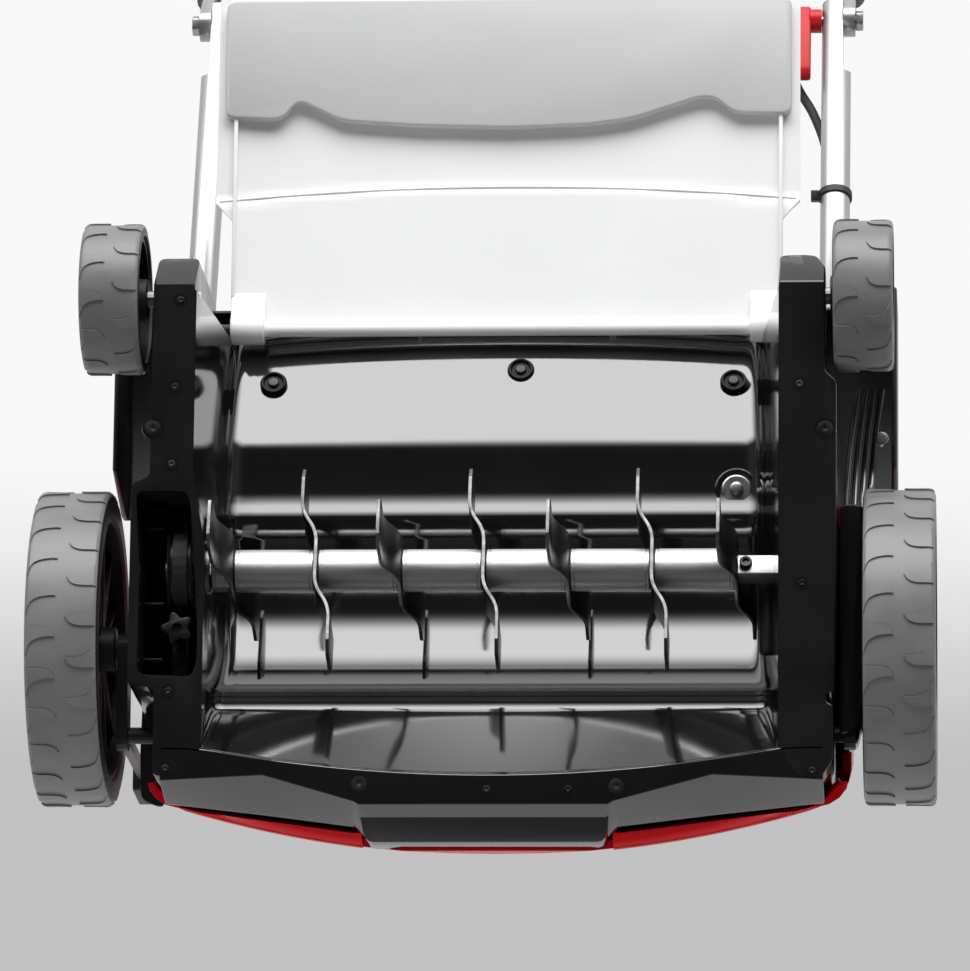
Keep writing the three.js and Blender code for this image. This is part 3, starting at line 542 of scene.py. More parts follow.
@dataclass(frozen=True)
class Finish:
    """How a surface looks: two close tones, a gloss that varies, and a fine grain.

    Attributes:
        name: the material's name.
        tone: its main colour.
        shade: the colour that a slow noise mixes in.
        gloss: lowest and highest roughness.
        metal: 1 for bare metal.
        ior: index of refraction.
        level: specular level.
        coat: weight of a clear coat.
        patch: how many slow patches fit in a metre.
        grain: how many grains fit in a metre.
        relief: strength of the grain's bump.
        stretch: how much denser the noise is along each axis.
    """

    name: str
    tone: Colour
    shade: Colour
    gloss: tuple[float, float] = (0.3, 0.45)
    metal: float = 0.0
    ior: float = 1.5
    level: float = 0.5
    coat: float = 0.0
    patch: float = 14.0
    grain: float = 1400.0
    relief: float = 0.08
    stretch: tuple[float, float, float] = (1.0, 1.0, 1.0)

    def made(self) -> bpy.types.Material:
        """Makes the finish's material, once.

        Returns:
            The material.
        """
        label = f"finish_{self.name}"
        found = bpy.data.materials.get(label)
        if found:
            return found
        material = bpy.data.materials.new(label)
        material.use_nodes = True
        nodes, links = material.node_tree.nodes, material.node_tree.links
        shader = nodes["Principled BSDF"]
        shader.inputs["Metallic"].default_value = self.metal
        shader.inputs["IOR"].default_value = self.ior
        shader.inputs["Specular IOR Level"].default_value = self.level
        shader.inputs["Coat Weight"].default_value = self.coat
        shader.inputs["Coat Roughness"].default_value = 0.08
        place = nodes.new("ShaderNodeTexCoord")
        mapping = nodes.new("ShaderNodeMapping")
        mapping.inputs["Scale"].default_value = self.stretch
        links.new(place.outputs["Object"], mapping.inputs["Vector"])
        slow = self._noise(nodes, links, mapping, self.patch, 3)
        fine = self._noise(nodes, links, mapping, self.grain, 2)
        ramp = nodes.new("ShaderNodeValToRGB")
        ramp.color_ramp.elements[0].position, ramp.color_ramp.elements[1].position = 0.35, 0.7
        ramp.color_ramp.elements[0].color = (*self.tone, 1)
        ramp.color_ramp.elements[1].color = (*self.shade, 1)
        links.new(slow.outputs["Fac"], ramp.inputs["Fac"])
        links.new(ramp.outputs["Color"], shader.inputs["Base Color"])
        rough = nodes.new("ShaderNodeMapRange")
        rough.inputs["From Min"].default_value, rough.inputs["From Max"].default_value = 0.3, 0.7
        rough.inputs["To Min"].default_value, rough.inputs["To Max"].default_value = self.gloss
        links.new(slow.outputs["Fac"], rough.inputs["Value"])
        links.new(rough.outputs["Result"], shader.inputs["Roughness"])
        bump = nodes.new("ShaderNodeBump")
        bump.inputs["Strength"].default_value = self.relief
        bump.inputs["Distance"].default_value = SCALE * 0.5
        links.new(fine.outputs["Fac"], bump.inputs["Height"])
        links.new(bump.outputs["Normal"], shader.inputs["Normal"])
        return material

    @staticmethod
    def _noise(nodes: bpy.types.Nodes, links: bpy.types.NodeLinks, mapping: bpy.types.Node,
               scale: float, detail: float) -> bpy.types.Node:
        """A noise on the piece's own coordinates.

        Args:
            nodes: the material's nodes.
            links: the material's links.
            mapping: the node that gives the coordinates.
            scale: how many cells fit in a metre.
            detail: how many finer layers it has.

        Returns:
            The noise node.
        """
        noise = nodes.new("ShaderNodeTexNoise")
        noise.inputs["Scale"].default_value = scale
        noise.inputs["Detail"].default_value = detail
        links.new(mapping.outputs["Vector"], noise.inputs["Vector"])
        return noise


GLOSS_BLACK = Finish("gloss_black", (0.004, 0.004, 0.0045), (0.006, 0.006, 0.0065), (0.05, 0.10), ior=2.1,
                     level=0.6, grain=500, relief=0.012)
RAIL_BLACK = Finish("rail_black", (0.007, 0.007, 0.0075), (0.011, 0.011, 0.0115), (0.08, 0.15), ior=1.8,
                    grain=900, relief=0.03)
# Painted shade: a darker, duller black that stands for the shade inside the drive pocket and the outlet's holes.
RECESS_SHADE_BLACK = Finish("recess_shade_black", (0.002, 0.002, 0.0022), (0.003, 0.003, 0.0033), (0.35, 0.5),
                      level=0.25)
MATT_BLACK = Finish("matt_black", (0.010, 0.010, 0.011), (0.016, 0.016, 0.017), (0.38, 0.5), relief=0.15)
COVER_GREY = Finish("cover_grey", (0.022, 0.0225, 0.023), (0.032, 0.033, 0.034), (0.24, 0.34), relief=0.1)
HOOD_RED = Finish("hood_red", (0.68, 0.010, 0.014), (0.62, 0.008, 0.012), (0.22, 0.3), level=0.22,
                  coat=0.08, relief=0.02)
TRIM_RED = Finish("trim_red", (0.55, 0.012, 0.016), (0.46, 0.009, 0.012), (0.28, 0.38), level=0.35)
KNIFE_FACE = Finish("knife_face", (0.055, 0.056, 0.058), (0.10, 0.10, 0.105), (0.28, 0.42), metal=1,
                    patch=60, grain=2600, relief=0.2)
KNIFE_EDGE = Finish("knife_edge", (0.26, 0.265, 0.27), (0.14, 0.145, 0.15), (0.26, 0.38), metal=1,
                    patch=160, grain=3000, relief=0.3)
BRIGHT_STEEL = Finish("bright_steel", (0.94, 0.945, 0.95), (0.84, 0.85, 0.86), (0.36, 0.46), metal=1,
                      patch=30, grain=1500, relief=0.10, stretch=(1, 9, 9))
ZINC = Finish("zinc", (0.60, 0.61, 0.62), (0.46, 0.47, 0.48), (0.26, 0.38), metal=1, patch=80,
              grain=2400, relief=0.15)
DARK_STEEL = Finish("dark_steel", (0.045, 0.046, 0.048), (0.08, 0.082, 0.085), (0.3, 0.42), metal=1,
                    patch=60, relief=0.15)
MOTOR_PAINT = Finish("motor_paint", (0.03, 0.032, 0.034), (0.045, 0.047, 0.05), (0.34, 0.46), relief=0.12)
TYRE_BODY = Finish("tyre_body", (0.165, 0.166, 0.168), (0.20, 0.201, 0.203), (0.30, 0.40), ior=1.6,
                   patch=24, grain=1200, relief=0.2)
FLAP_WHITE = Finish("flap_white", (0.90, 0.905, 0.91), (0.92, 0.925, 0.93), (0.28, 0.30), relief=0.03)
FLAP_GREY = Finish("flap_grey", (0.58, 0.584, 0.588), (0.60, 0.604, 0.608), (0.28, 0.32), relief=0.03)
TUBE_SILVER = Finish("tube_silver", (0.50, 0.51, 0.52), (0.58, 0.59, 0.60), (0.26, 0.34), metal=0.8,
                     stretch=(6, 1, 1), relief=0.05)
SATIN_BLACK = Finish("satin_black", (0.012, 0.012, 0.013), (0.02, 0.02, 0.021), (0.28, 0.36))
RUBBER = Finish("rubber", (0.011, 0.011, 0.0115), (0.019, 0.019, 0.0195), (0.5, 0.65), relief=0.2)
FLOOR_PALE = Finish("floor_pale", (0.70, 0.70, 0.71), (0.73, 0.73, 0.74), (0.5, 0.6), grain=200,
                    relief=0.0)


def dress(piece: bpy.types.Object, *finishes: Finish) -> bpy.types.Object:
    """Gives a piece its finishes, the first one all over.

    Args:
        piece: the piece.
        *finishes: its finishes, in slot order.

    Returns:
        The same piece.
    """
    piece.data.materials.clear()
    for finish in finishes:
        piece.data.materials.append(finish.made())
    return piece


def hang(piece: bpy.types.Object, body: Body | str, finish: Finish | None = None,
         stands_for: Sequence[str] = (), smooth: float = 32) -> bpy.types.Object:
    """Finishes a piece: smooth shading, finish, body and the nodes that it stands for.

    Args:
        piece: the finished mesh.
        body: the body that carries it.
        finish: its finish, unless it is dressed already.
        stands_for: CAD nodes that it takes the place of.
        smooth: the steepest turn, in degrees, that still looks smooth.

    Returns:
        The piece.
    """
    only(piece)
    bpy.ops.object.shade_smooth_by_angle(angle=math.radians(smooth))
    if finish:
        dress(piece, finish)
    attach(piece, body.value if isinstance(body, Body) else body)
    if stands_for:
        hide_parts(*stands_for)
    LOG.info("%s rides on %s, %d faces", piece.name, body, len(piece.data.polygons))
    return piece


# ------------------------------------------------------------------------------- underbody


@dataclass
class Underbody:
    """The moulded chassis: chamber, rails, drive pocket, nose and the screws that hold it."""

    deck: float = 35.0
    roller: Flat = (ROLLER_Y, ROLLER_Z)
    dome: float = 86.0
    lip: Flat = (-88.0, 18.0)
    roof: float = 166.0
    slope: float = math.tan(math.radians(20))
    outlet_start: float = 162.0
    outlet_end: float = 262.0
    outlet_arch: float = 17.0
    wall: float = 3.0
    right_foot: float = -208.3
    right_draft: float = 0.098
    holes: Sequence[Flat] = ((161, 212), (-18, 222), (-172, 212))
    bolt: Flat = (-175, 127)
    rail_top: float = 182.0
    rear_foot: Sequence[Flat] = ((243, 30), (300, 100), (300, 20))
    front_top: Sequence[Flat] = ((-200, 130), (-200, 300), (-70, 300), (-70, 182.5), (-112, 131))
    ridge_lines: int = 3

    def build(self) -> None:
        """Models the chassis and its small pieces."""
        self.chamber()
        self.left_rail()
        self.right_rail()
        self.nose()
        self.screws()
        self.hole_shade_cups()
        self.roof_bolt()
        self.outlet_bead()
        self.guard_pin()

    def wall_x(self, side: Side, y: float, z: float) -> float:
        """Where a drafted side wall of the chamber stands.

        Args:
            side: which wall.
            y: depth.
            z: height.

        Returns:
            The wall's X there.
        """
        if side is Side.LEFT:
            foot = between([(0, 194.5), (110, 202.5)], y)
            draft = between([(-60, 0.03), (20, 0.034), (60, 0.045), (120, 0.07)], y)
            return foot - (z - self.deck) * draft
        return self.right_foot + (z - self.deck) * self.right_draft

    def profile(self) -> list[Flat]:
        """The underside's line along the middle, from the front lip to the outlet's rear edge.

        Returns:
            (y, z) points.
        """
        y, z = self.roller
        apron = softened([(-106, self.deck), (-104.6, 37.5), (-56, 76), (-50, 81)], 3, 4, closed=False)
        steps = []
        for i in range(self.ridge_lines):
            start = -49 + i * 4.6
            lift = i * 1.6
            steps += [(start, 81.5 + lift), (start + 3.2, 82.0 + lift), (start + 3.7, 83.8 + lift)]
        dome = arc(y, z, self.dome, 178, 60, 46)
        ridge = softened([dome[-1], (106, 159.5), (110, 160.2), (118, 162.6), (124, 163.8), (140, 165.4),
                          (self.outlet_start, self.roof),
                          (self.outlet_end, self.roof + self.slope * 100)], 7, 5, closed=False)
        return apron + steps + dome[:-1] + ridge

    def chamber(self) -> None:
        """The chamber's skin: apron, dome, ridge, roof and outlet, with its side walls, in one sheet."""
        line_points = self.profile()
        stations = len(line_points)
        half_wall, fillet = 8, 6
        left, right = Side.LEFT, Side.RIGHT
        across = 2 * (half_wall + fillet) + 41

        def place(u: float, v: float) -> Vector:
            """A point of the skin.

            Args:
                u: share of the way from wall foot to wall foot.
                v: share of the way from front to rear.

            Returns:
                The point, in metres.
            """
            y0, z0 = line_points[round(v * (stations - 1))]
            index = round(u * (across - 1))
            tall = max(z0 - self.deck, 0.01)
            radius = min(between([(40, 12), (170, 18)], y0), tall * 0.9)
            side = left if index < half_wall + fillet else right
            near = min(index, across - 1 - index)
            top_x = self.wall_x(side, y0, z0)
            if near < half_wall:
                z = self.deck + (tall - radius) * near / half_wall
                x = self.wall_x(side, y0, z)
            elif near < half_wall + fillet:
                angle = math.pi / 2 * (near - half_wall) / fillet
                z = z0 - radius * (1 - math.sin(angle))
                x = top_x - side.value * radius * (1 - math.cos(angle))
            else:
                share = (index - half_wall - fillet) / (across - 1 - 2 * (half_wall + fillet))
                low = self.wall_x(right, y0, z0) + radius
                high = self.wall_x(left, y0, z0) - radius
                x, z = high + (low - high) * share, z0
            t = (x - DECK_X) / DECK_HALF
            if y0 < -50:
                y = -50 + (y0 + 50) * (1 - 0.32 * t * t)
            elif y0 > self.outlet_start:
                y = self.outlet_start + (y0 - self.outlet_start) * (1 - self.outlet_arch / 100 * t * t)
            else:
                y = y0
            return mm(x, y, z)

        skin = sheet("chamber_skin", across, stations, place)
        self.face_down(skin)
        thick(skin, self.wall)
        hang(skin, Body.CHASSIS, GLOSS_BLACK, ["chassis_shell"], smooth=40)

    @staticmethod
    def face_down(skin: bpy.types.Object) -> None:
        """Turns a sheet that is seen from below so that its faces look down."""
        if sum(face.normal.z * face.area for face in skin.data.polygons) > 0:
            flipped(skin)

    def left_rail(self) -> None:
        """The left rail with the drive pocket, which is open below."""
        outline = softened([
            (227, -107), (227, -44), (246, -42), (246, 103), (233, 107), (233, 275), (204, 275),
            (202.8, 108), (193.5, 60), (193.2, -88), (200, -96), (212, -106),
        ], 5)
        rail = along_z("rail_left", outline, self.deck, self.rail_top)
        slope = along_x("slope", self.rear_foot, 150, 300)
        high = along_x("high", self.front_top, 150, 300)
        shoulder = along_x("shoulder", [(-60, 150), (-60, 300), (110, 300), (110, 150)], 233.5, 300)
        cut(rail, slope, high, shoulder)
        pocket_plan = softened([
            (242.5, 97), (239, 39.3), (239.5, -34.4), (201, -36.5), (197.5, -25.1), (196.5, 12.8),
            (199, 60), (206, 97),
        ], 6)
        cavity = along_z("cavity", pocket_plan, 0, 138)
        cut(rail, cavity)
        rounded(rail, 1.6, 3, 40)
        hang(rail, Body.CHASSIS, RAIL_BLACK)
        # A dull near-black sheet just under the pocket's ceiling, and the ribs in the same finish: painted shade
        # inside the drive pocket.
        shade_sheet_plan = softened([(242, 96.5), (238.5, -34), (201.5, -36), (197.3, 12.8), (206, 96.5)], 6)
        shade_sheet = along_z("pocket_shade_sheet", shade_sheet_plan, 132, 137)
        rounded(shade_sheet, 1.0)
        hang(shade_sheet, Body.CHASSIS, RECESS_SHADE_BLACK)
        ribs = []
        for y in (-20, 20, 74, 88):
            ribs.append(along_x("rib", [(y, 60), (y + 2.4, 60), (y + 2.4, 131), (y, 131)], 224, 238))
        pocket_ribs = joined("pocket_ribs", ribs)
        rounded(pocket_ribs, 0.6, 2)
        hang(pocket_ribs, Body.CHASSIS, RECESS_SHADE_BLACK)

    def right_rail(self) -> None:
        """The right rail, the whole depth of the deck, with a notch in its outer edge."""
        outline = softened([
            (-208.3, -88), (-208.3, 275), (-234, 275), (-241, 262), (-241, 182), (-249, 176), (-249, 42),
            (-247.5, -48), (-242, -49), (-242, -55), (-247, -57), (-247, -96), (-238, -109), (-222, -107),
        ], 4)
        rail = along_z("rail_right", outline, self.deck, self.rail_top)
        slope = along_x("slope", self.rear_foot, -300, -150)
        high = along_x("high", self.front_top, -300, -150)
        cut(rail, slope, high)
        rounded(rail, 1.6, 3, 40)
        hang(rail, Body.CHASSIS, RAIL_BLACK)

    def nose(self) -> None:
        """The nose: a level strip, two sloped faces, a dark band and a boss in the middle."""
        level = [(-239, -110), (-163, -106), (-94, -125), (-91, -127), (83, -127), (86, -125),
                 (150, -106), (222, -110)]
        sloped = [(-240, -117), (-163, -125.8), (-97, -134), (-89, -141), (81, -141), (89, -134),
                  (150, -125.8), (222, -117)]
        band = [(x, y - 1.2) for x, y in sloped]
        stations = sorted({x for points in (level, sloped) for x, _ in points} | {
            float(x) for x in range(-230, 221, 15)})
        count = len(stations)

        def place(u: float, v: float) -> Vector:
            """A point of the nose.

            Args:
                u: share of the way across the machine.
                v: share of the way from the chamber's lip forwards.

            Returns:
                The point, in metres.
            """
            x = stations[round(u * (count - 1))]
            t = (x - DECK_X) / DECK_HALF
            lip_y = min(self.lip[0] - self.lip[1] * (1 - t * t), self.lip[0] + 2)
            lines = [(lip_y, self.deck), (lip_y - 2, self.deck), (between(level, x), self.deck + 0.4),
                     (between(sloped, x), 74), (between(band, x), 78), (between(band, x) + 2, 92),
                     (between(band, x) + 14, 92)]
            y, z = lines[round(v * 6)]
            return mm(x, y, z)

        nose = sheet("nose", count, 7, place)
        self.face_down(nose)
        thick(nose, self.wall)
        rounded(nose, 1.4, 3, 24)
        hang(nose, Body.CHASSIS, GLOSS_BLACK, smooth=30)
        plan = softened([(84, -124), (80, -148), (-88, -148), (-92, -124), (-60, -118), (50, -118)], 6)
        boss = along_z("nose_boss", plan, 44, 92)
        foot = [(-118, 38), (-150, 68), (-170, 68), (-170, 30), (-118, 30)]
        chamfer = along_x("chamfer", foot, -120, 120)
        cut(boss, chamfer)
        rounded(boss, 3, 4, 30)
        hang(boss, Body.CHASSIS, GLOSS_BLACK)

    def screws(self) -> None:
        """Screws in the deck: four large ones in wide recesses and small ones beside them."""
        large = [(231.5, 142.4), (-241, 140.2), (82.3, -112.5), (-96.5, -114.6)]
        small = [(216.4, 172.4), (217.8, 116.6), (213.7, 235.4), (217.1, -46.6), (217.8, -101.7),
                 (-223, 172.4), (-225.1, 29.3), (-232, -103.9), (-6.4, -116.7), (-63, -116.7)]
        rings, heads = [], []
        for sites, radius in ((large, 6.4), (small, 3.3)):
            for x, y in sites:
                z = self.deck - 0.3
                rings.append(turned_z("ring", [
                    (radius, z), (radius + 1.3, z), (radius + 1.5, z + 0.8), (radius, z + 1.5)], x, y))
                heads.append(turned_z("head", [
                    (0, z + 0.5), (radius * 0.18, z + 0.1), (radius * 0.5, z), (radius * 0.86, z + 0.2),
                    (radius * 0.95, z + 0.9), (0, z + 1.2)], x, y))
        hang(joined("screw_rims", rings), Body.CHASSIS, GLOSS_BLACK)
        hang(joined("screw_heads", heads), Body.CHASSIS, DARK_STEEL)

    def roof_at(self, y: float) -> float:
        """Height of the outlet's underside at a depth."""
        return self.roof + self.slope * max(0, y - self.outlet_start)

    def hole_shade_cups(self) -> None:
        """The outlet's round holes: shallow dark cups in painted shade just under the uncut skin, each holding a
        screw.
        """
        cups, screws = [], []
        for x, y in self.holes:
            z = self.roof_at(y)
            tilt = about(mm(x, y, z), Matrix.Rotation(math.radians(20), 4, "X"))
            cup = turned_z("cup", [
                (0, z - 0.3), (6.6, z - 0.3), (7.4, z - 2.4), (8.6, z - 2.6), (9.8, z - 0.4),
                (9.8, z + 2), (0, z + 2)], x, y)
            screw = turned_z("screw", [
                (0, z - 2.4), (1.6, z - 2.8), (3.4, z - 2.4), (3.9, z - 1.0), (0, z)], x, y)
            for part in (cup, screw):
                part.data.transform(tilt)
            cups.append(cup)
            screws.append(screw)
        # The cups' dark finish is painted shade standing in for the holes' depth.
        hang(joined("hole_shade_cups", cups), Body.CHASSIS, RECESS_SHADE_BLACK)
        hang(joined("hole_screws", screws), Body.CHASSIS, DARK_STEEL)

    def roof_bolt(self) -> None:
        """The bolt in the roof with its wide washer, and the round seat about it."""
        (x, y), z = self.bolt, self.roof
        seat = turned_z("roof_bolt_seat", [
            (11.8, z - 0.2), (12.4, z - 2.6), (14.6, z - 2.9), (15.8, z - 1.8), (16.2, z + 1),
            (11.8, z + 1)], x, y, 48)
        hang(seat, Body.CHASSIS, GLOSS_BLACK)
        washer = turned_z("roof_bolt", [
            (0, z - 7.6), (2.4, z - 8.0), (4.4, z - 7.2), (5.0, z - 5.6), (5.0, z - 3.2), (9.6, z - 3.2),
            (10.8, z - 2.4), (10.8, z - 0.4), (0, z - 0.4)], x, y, 48)
        hang(washer, Body.CHASSIS, ZINC, ["roof_bolt"])

    def outlet_bead(self) -> None:
        """The rolled rim along the outlet's arched rear edge."""
        route = []
        for x in span(190, -206, 25):
            t = (x - DECK_X) / DECK_HALF
            depth = self.outlet_start + 100 * (1 - self.outlet_arch / 100 * t * t)
            route.append(mm(x, depth, self.roof_at(self.outlet_end) + 0.6))
        hang(rod("outlet_bead", route, 2.6, steps=3), Body.CHASSIS, GLOSS_BLACK)

    def guard_pin(self) -> None:
        """A black round stop beside the roller, on a lug."""
        x, z = -199, 106
        profile = [(0, -6), (5, -6), (6.1, -4.6), (6.1, 40), (5.2, 43.6), (0, 44)]
        places = [mm(x + radius, y, z) for radius, y in profile]
        pin = lathe("guard_pin_rod", places, mm(x, 0, z), Vector((0, 1, 0)), closed=False, steps=32)
        block = [(30, z - 5), (42, z - 5), (42, z + 5), (30, z + 5)]
        lug = rounded(along_x("guard_pin_lug", block, x - 10, x), 1)
        hang(joined("guard_pin", [pin, lug]), Body.CHASSIS, MATT_BLACK, ["guard_pin"])


# ------------------------------------------------------------------------------- knife roller


@dataclass
class KnifeRoller:
    """Seven bent knives on a square bar, spaced by bright sleeves."""

    y: float = ROLLER_Y
    z: float = ROLLER_Z
    count: int = 7
    pitch: float = 59.3
    reach: float = 75.6
    width: float = 38.0
    plate: float = 2.4
    offset: float = 11.0
    bend: Flat = (22.0, 39.0)
    tilt: float = 17.5
    bar: float = 15.0
    sleeve: float = 15.0
    drive_end: float = 192.5
    gap: float = 0.3

    def build(self) -> None:
        """Models the roller's pieces."""
        pattern = self.knife()
        for i in range(self.count):
            x = ((self.count - 1) / 2 - i) * self.pitch
            angle = self.tilt - (90 if i % 2 == 0 else 0)
            turn = Matrix.Rotation(math.radians(angle), 4, "X")
            move = Matrix.Translation(mm(x, self.y, self.z)) @ turn
            blade = twin(pattern, f"knife_{i + 1}_plate", move)
            hang(blade, Body.ROLLER, None, [f"knife_{i + 1}"], smooth=24)
            self.spacer(i, x)
        bpy.data.objects.remove(pattern)
        self.square_bar()
        self.end_screw()

    def knife(self) -> bpy.types.Object:
        """One knife about the origin, its long side along Y and its bends along X.

        Returns:
            The knife, as a pattern for the others.
        """
        near, far = self.bend
        middle = softened([(-self.reach, -self.offset), (-far, -self.offset), (-near, 0), (near, 0),
                           (far, self.offset), (self.reach, self.offset)], 9, 6, closed=False)
        half = self.plate / 2
        outline = []
        for side in (1, -1):
            run = []
            for i, (along, x) in enumerate(middle):
                before, after = middle[max(i - 1, 0)], middle[min(i + 1, len(middle) - 1)]
                way = Vector((after[0] - before[0], after[1] - before[1])).normalized()
                run.append((along - way.y * half * side, x + way.x * half * side))
            outline += run if side > 0 else run[::-1]
        origin = mm(0, 0, 0)
        points = [mm(x, along, -self.width / 2) - origin for along, x in outline]
        blade = prism("knife_pattern", points, Vector((0, 0, self.width * SCALE)))
        for end in (1, -1):
            for edge in (1, -1):
                corner = prism("corner", [Vector((-0.04, end * a * SCALE, edge * b * SCALE)) for a, b in (
                    (self.reach - 13, self.width / 2 + 2), (self.reach + 3, self.width / 2 - 7),
                    (self.reach + 3, self.width / 2 + 2))], Vector((0.08, 0, 0)))
                cut(blade, corner)
        rounded(blade, 0.35, 2, 40)
        dress(blade, KNIFE_FACE, KNIFE_EDGE)
        limit, tip = self.width / 2 * SCALE, (self.reach - 16) * SCALE
        finish_faces(blade, 1, lambda centre, normal: abs(normal.z) > 0.5 or (
            abs(normal.y) > 0.8 and abs(centre.y) > tip) or abs(centre.z) > limit * 0.97)
        return blade

    def spacer(self, i: int, blade_x: float) -> None:
        """The sleeve on the drive side of a knife, with a rolled end ring at each end.

        Args:
            i: the knife's number, from 0 on the drive side.
            blade_x: where the knife's middle stands.
        """
        right = blade_x + self.plate / 2 + self.gap
        left = self.drive_end if i == 0 else right + self.pitch - self.plate - 2 * self.gap
        outer, inner = self.sleeve, self.sleeve - 3.5
        ring = [(0, inner), (0, outer - 1.0), (0.8, outer - 0.2), (2.6, outer - 0.2), (3.0, outer - 0.7),
                (3.4, outer)]
        profile = [(right + x, radius) for x, radius in ring]
        profile += [(left - x, radius) for x, radius in ring[::-1]]
        sleeve = turned_x(f"spacer_{i + 1}_sleeve", profile, self.y, self.z, 64)
        hang(sleeve, Body.ROLLER, BRIGHT_STEEL, [f"spacer_{i + 1}"])

    def tilted(self) -> Matrix:
        """The bar's turn about its own axis at rest."""
        return about(mm(0, self.y, self.z), Matrix.Rotation(math.radians(self.tilt), 4, "X"))

    def square_bar(self) -> None:
        """The square bar with its round journal."""
        half = self.bar / 2
        corners = [(self.y - half, self.z - half), (self.y + half, self.z - half),
                   (self.y + half, self.z + half), (self.y - half, self.z + half)]
        square = rounded(along_x("roller_bar_square", corners, -232, 202), 0.8, 3)
        square.data.transform(self.tilted())
        journal = turned_x("journal", [(201, 0), (201, 9), (225, 9), (226, 8), (226, 0)], self.y, self.z)
        hang(joined("roller_bar_steel", [square, journal]), Body.ROLLER, BRIGHT_STEEL,
             ["roller_bar"])

    def end_screw(self) -> None:
        """The dark set screw in the bar's free end."""
        half = self.bar / 2
        z = self.z - half
        screw = turned_z("roller_end_screw", [
            (0, z - 2.6), (2.2, z - 2.6), (2.5, z - 4.6), (3.9, z - 4.8), (4.5, z - 4.0), (4.5, z - 0.3),
            (0, z - 0.3)], -184.5, self.y)
        screw.data.transform(self.tilted())
        hang(screw, Body.ROLLER, DARK_STEEL, ["roller_set_screw"])


# ------------------------------------------------------------------------------- wheels


